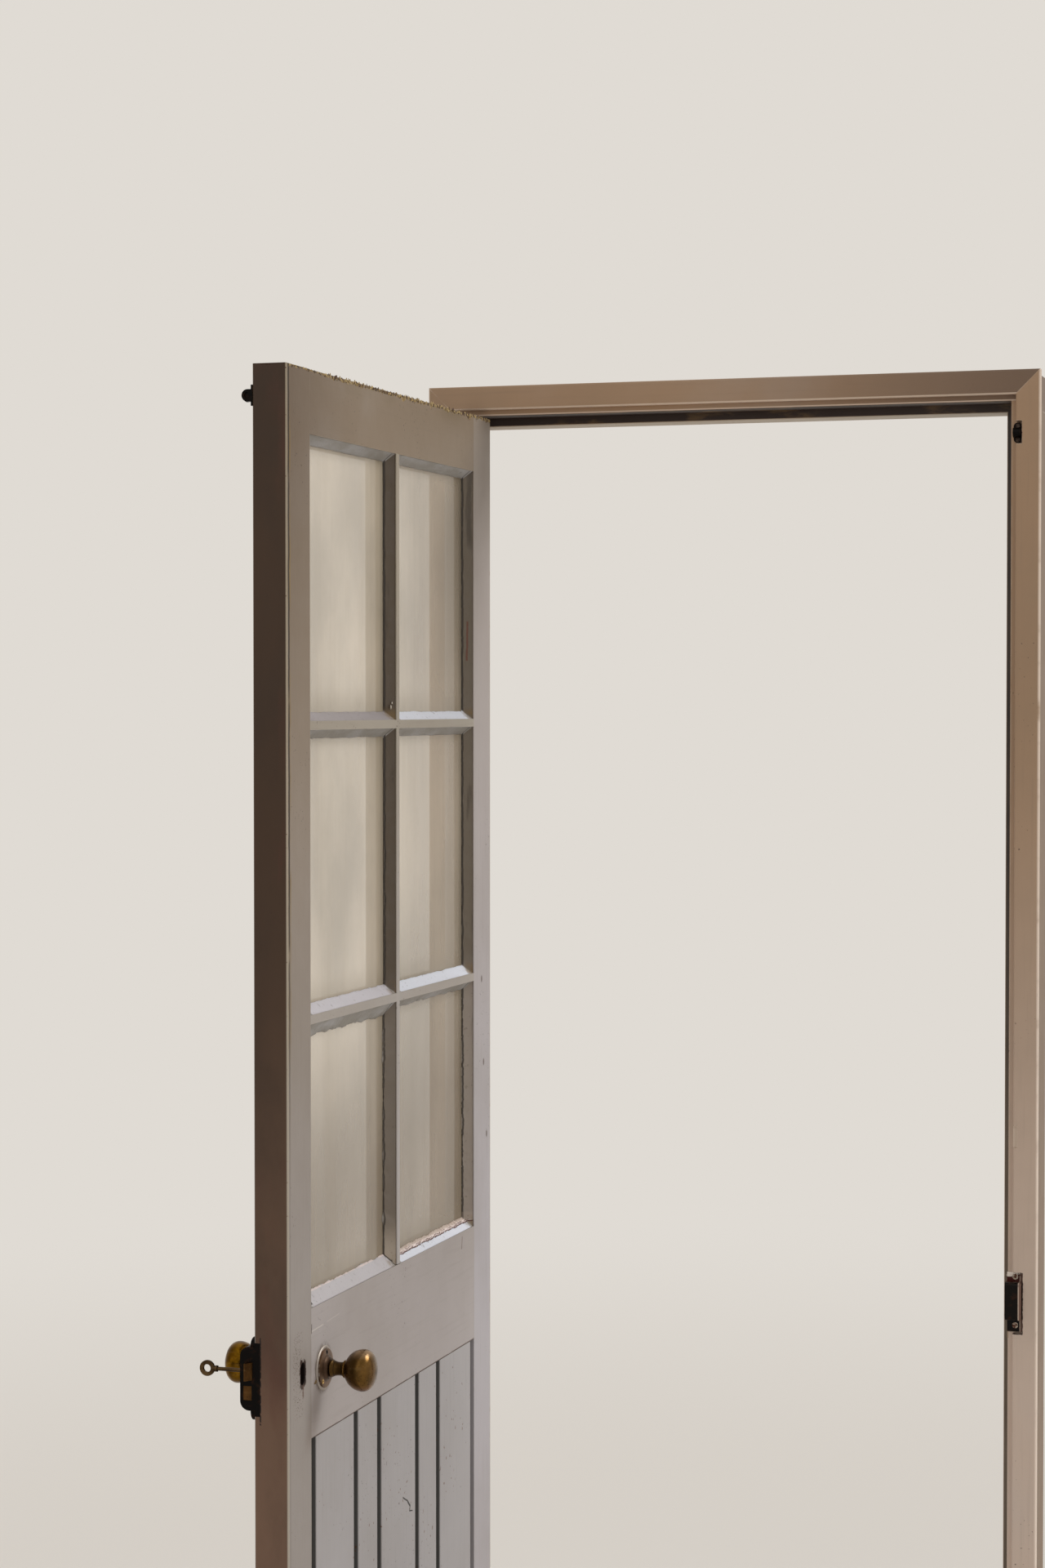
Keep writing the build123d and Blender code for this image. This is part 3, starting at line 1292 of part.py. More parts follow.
def top_bolt():
    """Round bolt with its knob on a short neck."""
    end = LEAF_WIDTH - TOP_BOLT_SUNK
    section = Pos(TOP_BOLT_Z, -TOP_BOLT_STANDOFF) * Circle(TOP_BOLT_RADIUS)
    bolt = crosswise(section, end - TOP_BOLT_LONG, end)
    x = LEAF_WIDTH - TOP_BOLT_KNOB_FROM_EDGE
    bolt += rod(x, TOP_BOLT_Z, TOP_BOLT_NECK, -TOP_BOLT_KNOB_STANDOFF, -TOP_BOLT_STANDOFF)
    return bolt + Pos(x, -TOP_BOLT_KNOB_STANDOFF, TOP_BOLT_Z) * Sphere(TOP_BOLT_KNOB_RADIUS)


def leaf_screws():
    screws = [p * screw(SCREW_HEAD, SCREW_SHANK, SCREW_LONG) for p in leaf_hinge_screw_places()]
    small = screw(SMALL_SCREW_HEAD, SMALL_SCREW_SHANK, SMALL_SCREW_LONG)
    screws += [p * small for p in lock_screw_places() + top_plate_screw_places()]
    return group(screws)


# Every piece under its name

def frame_pieces():
    pieces = {
        "frame_head": frame_head(),
        "hinge_jamb": hinge_jamb(),
        "lock_jamb": lock_jamb(),
        "sill": sill(),
        "architrave_head": architrave_head(),
        "architrave_hinge_side": architrave_side(-1),
        "architrave_lock_side": architrave_lock_side(),
        "lock_keep": lock_keep(),
        "bolt_keep": bolt_keep(),
        "hinge_pins": hinge_pins(),
        "frame_screws": frame_screws(),
    }
    for index, name in enumerate(("bottom", "middle", "top")):
        pieces[f"hinge_frame_flap_{name}"] = frame_flap(index)
    return pieces


def joinery_pieces():
    pieces = {
        "closing_stile": closing_stile(),
        "hinge_stile": hinge_stile(),
        "top_rail": top_rail(),
        "lock_rail": lock_rail(),
        "bottom_rail": bottom_rail(),
        "glazing_bar_upright": glazing_bar_upright(),
    }
    for row, level in enumerate(("lower", "upper")):
        pieces[f"glazing_bar_{level}_hinge_side"] = glazing_bar_cross(row, False)
        pieces[f"glazing_bar_{level}_lock_side"] = glazing_bar_cross(row, True)
    names = ("wide_1", "narrow_1", "wide_2", "narrow_2", "wide_3")
    for index, name in enumerate(names):
        pieces[f"board_{name}"] = board(index)
    return pieces


def glazing_pieces():
    """Putty is plain all round but for the patched and broken stretches of the lower lights."""
    pieces = {}
    plain = (LEDGE, LEDGE, LEDGE, LEDGE)
    for row, level in enumerate(("lower", "middle", "upper")):
        for lock_side, side in ((False, "hinge_side"), (True, "lock_side")):
            pieces[f"glass_{level}_{side}"] = glass_pane(row, lock_side)
            if row == 0 and lock_side:
                fillet_piece = putty(row, lock_side, (LEDGE, LEDGE, PUTTY_WIDE, PUTTY_WIDEST))
            elif row == 0:
                fillet_piece = broken_putty(row, lock_side, plain)
            else:
                fillet_piece = putty(row, lock_side, plain)
            pieces[f"putty_{level}_{side}"] = fillet_piece
    return pieces


def fitting_pieces():
    pieces = {
        "lock_case": lock_case(),
        "lock_cap": lock_cap(),
        "lock_springs": lock_springs(),
        "latch_bolt": latch_bolt(),
        "dead_bolt": dead_bolt(),
        "follower": follower(),
        "spindle": spindle(),
        "key": key(),
        "knob_outer": knob_outer(),
        "knob_inner": knob_inner(),
        "knob_rose": knob_rose(),
        "rose_screw": rose_screw_shape(),
        "bolt_plate": bolt_plate(),
        "top_bolt": top_bolt(),
        "leaf_screws": leaf_screws(),
    }
    for index, name in enumerate(("bottom", "middle", "top")):
        pieces[f"hinge_leaf_flap_{name}"] = leaf_flap(index)
    return pieces


os.makedirs("parts", exist_ok=True)
for name, shape in frame_pieces().items():
    export_step(shape, f"parts/{name}.step")
for pieces in (joinery_pieces(), glazing_pieces(), fitting_pieces()):
    for name, shape in pieces.items():
        export_step(hang(shape), f"parts/{name}.step")
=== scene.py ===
import math
import random

import bmesh
import bpy
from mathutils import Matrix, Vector, noise


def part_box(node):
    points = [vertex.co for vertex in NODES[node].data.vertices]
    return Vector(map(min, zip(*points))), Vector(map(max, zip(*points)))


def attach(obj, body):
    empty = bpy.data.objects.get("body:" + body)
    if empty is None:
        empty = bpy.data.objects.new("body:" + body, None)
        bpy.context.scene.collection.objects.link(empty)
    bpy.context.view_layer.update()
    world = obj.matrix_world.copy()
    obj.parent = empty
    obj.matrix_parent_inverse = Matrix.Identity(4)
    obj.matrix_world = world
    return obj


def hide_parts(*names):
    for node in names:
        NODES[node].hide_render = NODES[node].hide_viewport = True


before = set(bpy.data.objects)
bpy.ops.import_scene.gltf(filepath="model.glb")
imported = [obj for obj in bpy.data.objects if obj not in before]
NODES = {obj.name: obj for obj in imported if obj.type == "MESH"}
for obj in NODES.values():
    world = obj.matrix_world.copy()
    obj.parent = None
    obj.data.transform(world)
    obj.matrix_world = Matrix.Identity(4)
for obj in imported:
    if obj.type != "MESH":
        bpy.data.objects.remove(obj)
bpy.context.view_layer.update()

# Sizes in metres. Outer sizes come from the solids, edges inside a solid are given here.
STILE_LOW, STILE_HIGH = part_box("closing_stile")
HINGE_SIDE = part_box("hinge_stile")[1].y
OUTDOOR_FACE = STILE_HIGH.x
CLOSING_EDGE = STILE_LOW.y
STILE_SHOULDER = -0.7885
HINGE_STILE_SHOULDER = -0.1345
LEAF_TOP = STILE_HIGH.z
LOCK_RAIL_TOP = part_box("lock_rail")[1].z
LOCK_RAIL_UNDERSIDE = 0.7265
TOP_RAIL_UNDERSIDE = 1.997
BOARD_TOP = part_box("board_wide_1")[1].z
LOCK_LOW, LOCK_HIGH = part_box("lock_case")
KEEP_LOW, KEEP_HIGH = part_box("lock_keep")
KEEP_FOOT = 0.01
BOLT_KEEP_LOW, BOLT_KEEP_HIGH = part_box("bolt_keep")
ARCHITRAVE_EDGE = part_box("architrave_lock_side")[1].x
ROOM_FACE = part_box("frame_head")[0].y
STOP_EDGE = 0.3975
REBATE_EDGE = 0.4095
JAMB_OUTER_SIDE = 0.447
HEAD_STOP_EDGE = 2.071
HEAD_REBATE_EDGE = 2.0822
KEYHOLE_Y, KEYHOLE_Z = -0.8175, 0.8145
KNOB_Y, KNOB_Z = -0.7455, 0.808
FIRST_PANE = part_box("putty_lower_lock_side")[0]
PANE_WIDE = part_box("putty_lower_hinge_side")[0].y - FIRST_PANE.y
PANE_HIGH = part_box("putty_middle_lock_side")[0].z - FIRST_PANE.z
BAR_WIDE = 0.0114
BAR_MIDDLE = -0.462
LOWEST_PUTTY_TOP = 0.915
PUTTY_WIDE = 0.011
PUTTY_SETBACK = 0.0004
PUTTY_STEP = 0.003
PUTTY_FOOT = 0.0006
PUTTY_OFF_GLASS = 0.00005
SEED = 11

# Where the photograph was taken from
CAMERA_PLACE = (1.0705, -4.4466, 1.6549)
CAMERA_YAW = 0.304436
CAMERA_DIP = 0.025447
FOCAL_PIXELS = 3812.8
PHOTO_WIDTH = 1280
SENSOR_WIDTH = 36.0


def tone(red, green, blue):
    """A colour as seen on screen, 0 to 255, in linear light."""
    linear = []
    for value in (red, green, blue):
        share = value / 255
        linear.append(share / 12.92 if share <= 0.04045 else ((share + 0.055) / 1.055) ** 2.4)
    return (*linear, 1.0)


BACKGROUND = tone(224, 219, 212)


# Node trees

class Signal:
    """An output socket of a tree. Arithmetic on it adds Math nodes."""

    def __init__(self, home, socket):
        self.home = home
        self.socket = socket

    def math(self, operation, *values):
        return self.home.node("ShaderNodeMath", {"operation": operation}, dict(enumerate(values)))

    def __add__(self, other):
        return self.math("ADD", self, other)

    def __radd__(self, other):
        return self.math("ADD", other, self)

    def __sub__(self, other):
        return self.math("SUBTRACT", self, other)

    def __rsub__(self, other):
        return self.math("SUBTRACT", other, self)

    def __mul__(self, other):
        return self.math("MULTIPLY", self, other)

    def __rmul__(self, other):
        return self.math("MULTIPLY", other, self)

    def __truediv__(self, other):
        return self.math("DIVIDE", self, other)

    def __rtruediv__(self, other):
        return self.math("DIVIDE", other, self)

    def __pow__(self, other):
        return self.math("POWER", self, other)

    def __mod__(self, other):
        return self.math("MODULO", self, other)

    def __abs__(self):
        return self.math("ABSOLUTE", self)

    def least(self, other):
        return self.math("MINIMUM", self, other)

    def most(self, other):
        return self.math("MAXIMUM", self, other)

    def rise(self, low, high):
        """0 before low, 1 past high, smooth between. With high under low it falls instead."""
        values = {0: self, 1: low, 2: high}
        if high <= low:
            values = {0: self, 1: high, 2: low, 3: 1.0, 4: 0.0}
        return self.home.node("ShaderNodeMapRange", {"interpolation_type": "SMOOTHSTEP"}, values)

    def within(self, low, high, soft):
        """1 from low to high, falling off over soft on both sides."""
        half = (high - low) / 2
        return abs(self - (low + half)).rise(half + soft, half)


class Tree:
    """A node tree and the one way of adding nodes to it."""

    def __init__(self, tree):
        self.tree = tree

    def node(self, kind, settings=None, values=None, output=0):
        """Adds a node: its settings first, then the value or link of each socket named."""
        made = self.tree.nodes.new(kind)
        for name, value in (settings or {}).items():
            setattr(made, name, value)
        for name, value in (values or {}).items():
            self.feed(self.pick(made.inputs, name), value)
        return Signal(self, self.pick(made.outputs, output))

    @staticmethod
    def pick(sockets, name):
        if isinstance(name, int):
            return sockets[name]
        for socket in sockets:
            if socket.identifier == name:
                return socket
        return sockets[name]

    def feed(self, socket, value):
        if isinstance(value, Signal):
            self.tree.links.new(value.socket, socket)
        else:
            socket.default_value = value

    def looked_at(self):
        """1 for what the camera sees, directly, in a reflection or through glass."""
        seen = self.node("ShaderNodeLightPath", output="Is Camera Ray")
        seen = seen.most(self.node("ShaderNodeLightPath", output="Is Glossy Ray"))
        return seen.most(self.node("ShaderNodeLightPath", output="Is Transmission Ray"))


class Finish(Tree):
    """A procedural material, written as expressions over the object's own coordinates."""

    def __init__(self, name):
        self.material = bpy.data.materials.new(name)
        self.material.use_nodes = True
        super().__init__(self.material.node_tree)
        self.shader = self.tree.nodes["Principled BSDF"]
        self.colour = None
        self.place = self.node("ShaderNodeTexCoord", output="Object")
        self.x, self.y, self.z = (
            self.node("ShaderNodeSeparateXYZ", values={0: self.place}, output=axis)
            for axis in "XYZ")

    def noise(self, scale, stretch=(1, 1, 1), detail=3.0, roughness=0.55, offset=0.0):
        """Cloudy noise from 0 to 1. A small stretch along an axis draws it out that way."""
        where = self.node("ShaderNodeMapping", values={
            "Vector": self.place, "Location": (offset, offset, offset), "Scale": stretch})
        return self.node("ShaderNodeTexNoise", values={
            "Vector": where, "Scale": scale, "Detail": detail, "Roughness": roughness},
            output="Fac")

    def edges(self, radius):
        """1 on the arrises, 0 on the flats."""
        rounded = self.node("ShaderNodeBevel", {"samples": 4}, {"Radius": radius})
        flat = self.node("ShaderNodeNewGeometry", output="True Normal")
        turn = self.node("ShaderNodeVectorMath", {"operation": "DOT_PRODUCT"},
                         {0: rounded, 1: flat}, "Value")
        return turn.rise(0.995, 0.86)

    def blend(self, first, second, mask):
        """From the first colour to the second as mask goes from 0 to 1."""
        return self.node("ShaderNodeMix", {"data_type": "RGBA"}, {
            "Factor_Float": mask, "A_Color": first, "B_Color": second}, output="Result_Color")

    def coat(self, colour, mask):
        """Lays a colour over what is there so far, where mask is 1."""
        self.colour = self.blend(self.colour, colour, mask)

    def bumps(self, height, depth):
        return self.node("ShaderNodeBump", values={"Distance": depth, "Height": height},
                         output="Normal")

    def front(self):
        """1 on the leaf's outdoor face, 0 just behind it."""
        return self.x.rise(OUTDOOR_FACE - 0.0012, OUTDOOR_FACE - 0.0004)

    def away(self, y, z):
        """Distance from a line through the leaf at the given place."""
        return ((self.y - y) ** 2 + (self.z - z) ** 2) ** 0.5

    def line(self, start, end, half, soft):
        """A scratch on the leaf's outdoor face between two places given as (y, z)."""
        run = Vector(end) - Vector(start)
        long = run.length
        run.normalize()
        along = (self.y - start[0]) * run.x + (self.z - start[1]) * run.y
        across = (self.z - start[1]) * run.x - (self.y - start[0]) * run.y
        wander = (self.noise(90, offset=start[0] * 40) - 0.5) * (2.5 * half)
        return abs(across + wander).rise(half + soft, half) * along.within(0, long, 0.002)

    def done(self, roughness, normal=None, **plain):
        """Links the colour, the roughness and the bumps, and sets any other plain value."""
        self.feed(self.shader.inputs["Base Color"], self.colour)
        self.feed(self.shader.inputs["Roughness"], roughness)
        if normal is not None:
            self.feed(self.shader.inputs["Normal"], normal)
        for name, value in plain.items():
            self.feed(self.shader.inputs[name.replace("_", " ")], value)
        return self.material


class Pattern(Tree):
    """A Geometry Nodes tree with named sizes, turned into one plain mesh."""

    def __init__(self, name):
        super().__init__(bpy.data.node_groups.new(name, "GeometryNodeTree"))
        self.sizes = {}
        self.tree.interface.new_socket("Geometry", in_out="OUTPUT",
                                       socket_type="NodeSocketGeometry")
        self.inputs = self.tree.nodes.new("NodeGroupInput")

    def size(self, name, value, kind="NodeSocketFloat"):
        socket = self.tree.interface.new_socket(name, in_out="INPUT", socket_type=kind)
        self.sizes[socket.identifier] = value
        return Signal(self, self.pick(self.inputs.outputs, socket.identifier))

    def random(self, low, high, seed):
        """A random vector for each point, between two corners."""
        return self.node("FunctionNodeRandomValue", {"data_type": "FLOAT_VECTOR"},
                         {"Min": low, "Max": high, "Seed": seed}, output="Value")

    def finish(self, name, geometry, material):
        """Gives what the tree makes as an object with a plain mesh."""
        whole = self.node("GeometryNodeRealizeInstances", values={0: geometry})
        dressed = self.node("GeometryNodeSetMaterial",
                            values={"Geometry": whole, "Material": material})
        end = self.tree.nodes.new("NodeGroupOutput")
        self.tree.links.new(dressed.socket, end.inputs[0])
        carrier = bpy.data.objects.new(name, bpy.data.meshes.new(name))
        bpy.context.scene.collection.objects.link(carrier)
        modifier = carrier.modifiers.new(name, "NODES")
        modifier.node_group = self.tree
        for identifier, value in self.sizes.items():
            modifier[identifier] = value
        shaped = carrier.evaluated_get(bpy.context.evaluated_depsgraph_get())
        mesh = bpy.data.meshes.new_from_object(shaped)
        carrier.modifiers.clear()
        carrier.data = mesh
        return carrier


def wear(*names, material):
    """Gives CAD nodes their finish."""
    for name in names:
        mesh = NODES[name].data
        mesh.materials.clear()
        mesh.materials.append(material)


def starting(*heads):
    return [name for name in NODES if name.startswith(heads)]


# Paint

GRAIN = {"x": (0.04, 1, 1), "y": (1, 0.04, 1), "z": (1, 1, 0.04)}
FILLED_HOLES = ((-0.098, 1.2515), (-0.089, 1.128), (-0.075, 1.02))


def brushed(f, along):
    """Soft clouds, brush lines along the grain, and a few dark specks, over old thick paint."""
    clouds = f.noise(3.1, detail=5)
    f.coat(tone(120, 108, 92), clouds.rise(0.42, 0.75) * 0.25)
    f.coat(tone(186, 184, 184), clouds.rise(0.5, 0.25) * 0.16)
    lines = f.noise(170, GRAIN[along], detail=2)
    f.coat(tone(110, 100, 88), lines.rise(0.5, 0.85) * 0.14)
    specks = f.noise(260, detail=1, offset=3.1).rise(0.72, 0.75)
    specks = specks * f.noise(7, offset=8.0).rise(0.52, 0.6)
    f.coat(tone(64, 48, 36), specks * 0.75)
    return lines * 0.35 + f.noise(45, detail=4, offset=5.0) * 0.8 - specks * 0.6


def leaf_base(f, low_tone, high_tone, along):
    """The leaf's paint, browner towards its top, with painted shade at the top of the closing
    stile.
    """
    f.colour = f.blend(low_tone, high_tone, f.z.rise(0.8, 1.9))
    height = brushed(f, along)
    # Painted shade over the top of the closing stile
    corner = f.z.rise(1.45, 2.1) * f.y.rise(-0.55, -0.95)
    f.coat(tone(84, 66, 49), corner * 0.75)
    return height


def shabby_top(f, height):
    """Chipped and dirty arris along the top, and a bare dusty end above it."""
    below = LEAF_TOP - f.z
    ragged = f.noise(70, (1, 0.6, 1), detail=6, roughness=0.65, offset=1.7)
    more = f.y.rise(-0.86, -0.62) * 0.65 + 0.35
    band = (below - (ragged - 0.35) * 0.028 * more).rise(0.001, -0.001)
    f.coat(tone(138, 112, 66), band * 0.95)
    chips = f.noise(190, (1, 0.55, 1), detail=3, offset=4.0)
    bare = chips.rise(0.47, 0.54) * band * f.noise(16, detail=2, offset=2.0).rise(0.34, 0.46)
    f.coat(tone(54, 32, 12), bare)
    f.coat(tone(190, 168, 122), chips.rise(0.42, 0.36) * band * 0.8)
    dirt = below.rise(0.03, 0.0) * f.noise(22, (1, 0.4, 1), detail=4, offset=7.0).rise(0.4, 0.7)
    f.coat(tone(112, 96, 66), dirt * 0.45)
    end = below.rise(0.0006, 0.0001)
    f.coat(f.blend(tone(96, 80, 60), tone(140, 126, 104), ragged), end * 0.9)
    return height - bare * 2.0 - band * 0.3, band.most(end)


def leaf_timber(name, along, low_tone, high_tone):
    """Leaf paint for stiles, rails and bars: the finish, its height and where it is rough."""
    f = Finish(name)
    height, rough = shabby_top(f, leaf_base(f, low_tone, high_tone, along))
    # Painted highlight: the arrises are paler, as where they catch the light
    arris = f.edges(0.0013) * f.noise(30, offset=6.0).rise(0.3, 0.6)
    f.coat(tone(188, 180, 166), arris * 0.5)
    return f, height, rough


def leaf_done(f, height, rough):
    """Sheen and brush marks of the leaf's timber, duller where it is rough."""
    sheen = 0.4 + f.noise(30, offset=9.0) * 0.16
    return f.done(sheen + rough * 0.3, f.bumps(height, 0.0003), Specular_IOR_Level=0.35)


def shoulder_line(f, where, low, high):
    """The joint between a stile and the rails that meet it, as a mask."""
    rails = f.z.within(LOCK_RAIL_UNDERSIDE, LOCK_RAIL_TOP, 0.0004)
    rails = rails.most(f.z.rise(TOP_RAIL_UNDERSIDE - 0.001, TOP_RAIL_UNDERSIDE + 0.001))
    return (f.y - where).within(low, high, 0.0006) * f.front() * rails


def closing_stile_paint():
    """The stile that meets the jamb: grubby edge in painted shade, cracked arris, keyhole with
    painted shade inside, and lock stains.
    """
    f, height, rough = leaf_timber("closing_stile_paint", "z", tone(151, 143, 138),
                                   tone(135, 118, 99))
    front = f.front()
    inward = f.y - CLOSING_EDGE
    wander = (f.noise(24, (0, 0, 1), detail=5, offset=2.0) - 0.5) * 0.004
    high = f.z.rise(1.0, 1.5)

    # Strip planted along the closing arris, and the crack behind it
    strip = inward.rise(0.0072, 0.006) * front
    f.coat(tone(176, 164, 142), strip * 0.45)
    fringe = (inward + wander).within(0.006, 0.0145, 0.002) * front
    fringe = fringe * f.noise(9, (0, 0, 1), detail=4, offset=6.0).rise(0.4, 0.6) * high
    f.coat(tone(128, 104, 58), fringe * 0.75)
    slit = (inward + wander).within(0.0068, 0.011, 0.0008) * front
    slit = slit * f.noise(7, (0, 0, 1), detail=4, offset=11.0).rise(0.36, 0.46)
    slit = slit * (high * 0.85 + 0.15)
    f.coat(tone(48, 34, 18), slit)
    nicks = f.noise(120, (0, 0, 1), detail=2, offset=3.0).rise(0.63, 0.68)
    nicks = nicks * inward.rise(0.004, 0.0005)
    f.coat(tone(84, 56, 36), nicks * front)

    # The closing edge, browned by hand grease and darkened with painted shade, darkest high up,
    # with a gap where the lock case meets it
    side = inward.rise(0.0006, 0.0002) * f.x.rise(OUTDOOR_FACE - 0.0002, OUTDOOR_FACE - 0.0012)
    grease_and_shade = f.blend(tone(122, 94, 76), tone(64, 43, 25), f.z.rise(0.35, 1.5))
    dark = f.noise(9, (1, 1, 0.5), detail=5, offset=9.0).rise(0.45, 0.75)
    red = f.noise(14, (1, 1, 0.3), detail=5, offset=4.0).rise(0.52, 0.7)
    grease_and_shade = f.blend(grease_and_shade, tone(44, 30, 18), dark * 0.5)
    grease_and_shade = f.blend(grease_and_shade, tone(86, 46, 34), red * 0.45)
    f.coat(grease_and_shade, side)
    nearly = f.x.within(LOCK_HIGH.x - 0.0004, LOCK_HIGH.x + 0.0008, 0.0006)
    ragged = f.noise(160, detail=4, offset=1.0)
    gap = nearly * f.z.within(LOCK_LOW.z - 0.003, LOCK_HIGH.z + 0.001, 0.001)
    gap = gap * ragged.rise(0.4, 0.5)
    f.coat(tone(30, 16, 10), gap * side)

    # Keyhole: painted shade inside, broken round its rim, with a drip below and specks beside it
    aside = abs(f.y - KEYHOLE_Y) / 0.0085
    off = abs(f.z - KEYHOLE_Z) / 0.0142
    reach = (aside ** 6 + off ** 6) ** (1 / 6)
    broken = (reach - (ragged - 0.45) * 1.1).rise(1.24, 1.08)
    keyhole_shade = reach.rise(1.1, 1.04) * f.x.rise(OUTDOOR_FACE - 0.0003, OUTDOOR_FACE - 0.0009)
    f.coat(tone(46, 26, 16), broken * front)
    f.coat(tone(24, 14, 9), keyhole_shade)
    drip = abs(f.y - KEYHOLE_Y - 0.001 + wander).rise(0.0035, 0.0008)
    drip = drip * (KEYHOLE_Z - f.z).within(0.014, 0.029, 0.004) * ragged.rise(0.38, 0.55)
    f.coat(tone(84, 48, 30), drip * front * 0.9)
    beside = reach.within(1.2, 3.4, 0.8) * f.y.rise(KEYHOLE_Y + 0.004, KEYHOLE_Y - 0.006)
    beside = beside * f.noise(420, detail=1, offset=6.0).rise(0.62, 0.66) * front
    f.coat(tone(70, 44, 32), beside * 0.8)

    # Shoulder line against the rails, and the stain and painted shadow below the knob
    faint = f.noise(40, (0, 0, 1), detail=3, offset=8.0).rise(0.3, 0.6)
    shoulder = shoulder_line(f, STILE_SHOULDER, -0.0006, 0.0006)
    f.coat(tone(104, 90, 78), shoulder * faint * 0.7)
    knob_stain_and_shadow(f)
    height = height - slit * 2.5 - broken * front * 1.5 - gap * 2.0 + strip * 0.3
    return leaf_done(f, height, rough)


def knob_stain_and_shadow(f):
    """Soft brown stain of years of hands and rain below the rose, with the rose's shadow painted
    in.
    """
    front = f.front()
    down = KNOB_Z - f.z
    # Streak running down towards the closing edge: stain, and the rose's painted shadow
    slide = f.y - KNOB_Y + 0.012 + down * 0.42
    streak = abs(slide).rise(0.03, 0.004) * down.within(0.015, 0.075, 0.03)
    streak = streak * (f.noise(30, (1, 1, 0.2), detail=4, offset=5.0) * 0.6 + 0.4)
    f.coat(tone(118, 98, 86), streak * front * 0.5)
    halo = f.away(KNOB_Y, KNOB_Z).rise(0.036, 0.0285) * front
    halo = halo * f.noise(110, detail=4).rise(0.35, 0.6)
    f.coat(tone(96, 82, 70), halo * 0.6)


def hinge_stile_paint():
    """The stile at the hinges: cool grey, a chipped outer arris and three filled holes."""
    f, height, rough = leaf_timber("hinge_stile_paint", "z", tone(178, 173, 177),
                                   tone(170, 160, 155))
    front = f.front()
    inward = HINGE_SIDE - f.y
    chips = f.noise(80, (0.3, 1, 1), detail=4, offset=5.0).rise(0.6, 0.66)
    chips = chips * inward.rise(0.006, 0.0005)
    f.coat(tone(128, 84, 46), chips * front * 0.85)
    # Painted highlight along the outer arris
    edge = inward.within(0.0, 0.0035, 0.001) * front
    f.coat(tone(190, 182, 168), edge * 0.4)
    f.coat(tone(138, 124, 108), f.z.rise(1.84, 2.05) * 0.7)
    shoulder = shoulder_line(f, HINGE_STILE_SHOULDER, -0.0007, 0.0005)
    f.coat(tone(118, 104, 90), shoulder * 0.5)
    for y, z in FILLED_HOLES:
        spot = ((f.y - y) ** 2 + ((f.z - z) * 0.6) ** 2) ** 0.5
        f.coat(tone(86, 70, 62), spot.rise(0.0042, 0.002) * front * 0.85)
    return leaf_done(f, height, rough)


def rail_paint(name, low_tone, high_tone):
    """Rails and cross bars. The scratches lie where only the lock rail has timber."""
    f, height, rough = leaf_timber(name, "y", low_tone, high_tone)
    front = f.front()
    knob_stain_and_shadow(f)
    pale = f.line((-0.787, 0.8622), (-0.747, 0.8636), 0.0005, 0.0006)
    dark = f.line((-0.7875, 0.8605), (-0.7868, 0.8705), 0.0008, 0.0008)
    faint = f.line((-0.732, 0.8648), (-0.69, 0.8668), 0.0003, 0.0006)
    f.coat(tone(200, 194, 186), (pale + faint * 0.6).least(1.0) * front * 0.7)
    f.coat(tone(66, 48, 38), dark * front * 0.9)
    foot = (f.z - LOCK_RAIL_UNDERSIDE).within(-0.0005, 0.0007, 0.0005) * front
    foot = foot * f.noise(30, (0, 1, 0)).rise(0.3, 0.5)
    f.coat(tone(110, 92, 80), foot * 0.8)
    tick = f.line((-0.1905, 0.868), (-0.1885, 0.884), 0.0009, 0.001)
    f.coat(tone(104, 88, 80), tick * front * 0.8)
    return leaf_done(f, height, rough)


def upright_bar_paint():
    """The upright glazing bar, with its open joint on the lock rail."""
    f, height, rough = leaf_timber("bar_paint", "z", tone(176, 170, 168), tone(156, 146, 130))
    joint = (f.z - FIRST_PANE.z).rise(0.0016, 0.0006)
    f.coat(tone(62, 44, 34), joint * 0.9)
    return leaf_done(f, height, rough)


def board_paint():
    """Boards: cool grey paint, dark grey down in the channels from dirt and painted shade, and one
    curled scratch.
    """
    f = Finish("board_paint")
    height = leaf_base(f, tone(166, 162, 163), tone(166, 160, 158), "z")
    front = f.front()
    # Dark grey in the channels: dirt and painted shade
    channel_dirt_and_shade = f.x.within(OUTDOOR_FACE - 0.0085, OUTDOOR_FACE - 0.0018, 0.0007)
    grit = f.noise(60, (1, 1, 0.15), detail=4, offset=3.0)
    f.coat(f.blend(tone(74, 74, 73), tone(96, 95, 92), grit), channel_dirt_and_shade * 0.92)
    # Painted highlight on the boards' arrises
    f.coat(tone(192, 190, 190), f.edges(0.0012) * front * 0.4)
    top = f.z.rise(BOARD_TOP - 0.0009, BOARD_TOP - 0.0003) * front
    f.coat(tone(78, 60, 50), top * 0.8)
    bend, turn, back = (-0.4268, 0.5587), (-0.4151, 0.5485), (-0.4175, 0.5425)
    curl = f.line((-0.4442, 0.5669), bend, 0.0007, 0.0007)
    curl = curl.most(f.line(bend, turn, 0.001, 0.0008))
    curl = curl.most(f.line(turn, back, 0.001, 0.0008))
    curl = curl.most(f.line(back, (-0.4063, 0.5399), 0.0006, 0.0007))
    f.coat(tone(40, 36, 36), curl * front)
    spots = f.noise(120, detail=1, offset=12.0).rise(0.7, 0.73)
    spots = spots * f.noise(6, offset=4.0).rise(0.5, 0.56)
    f.coat(tone(104, 72, 48), spots * 0.7)
    sheen = 0.42 + f.noise(30, offset=9.0) * 0.14
    return f.done(sheen, f.bumps(height - curl, 0.0003))


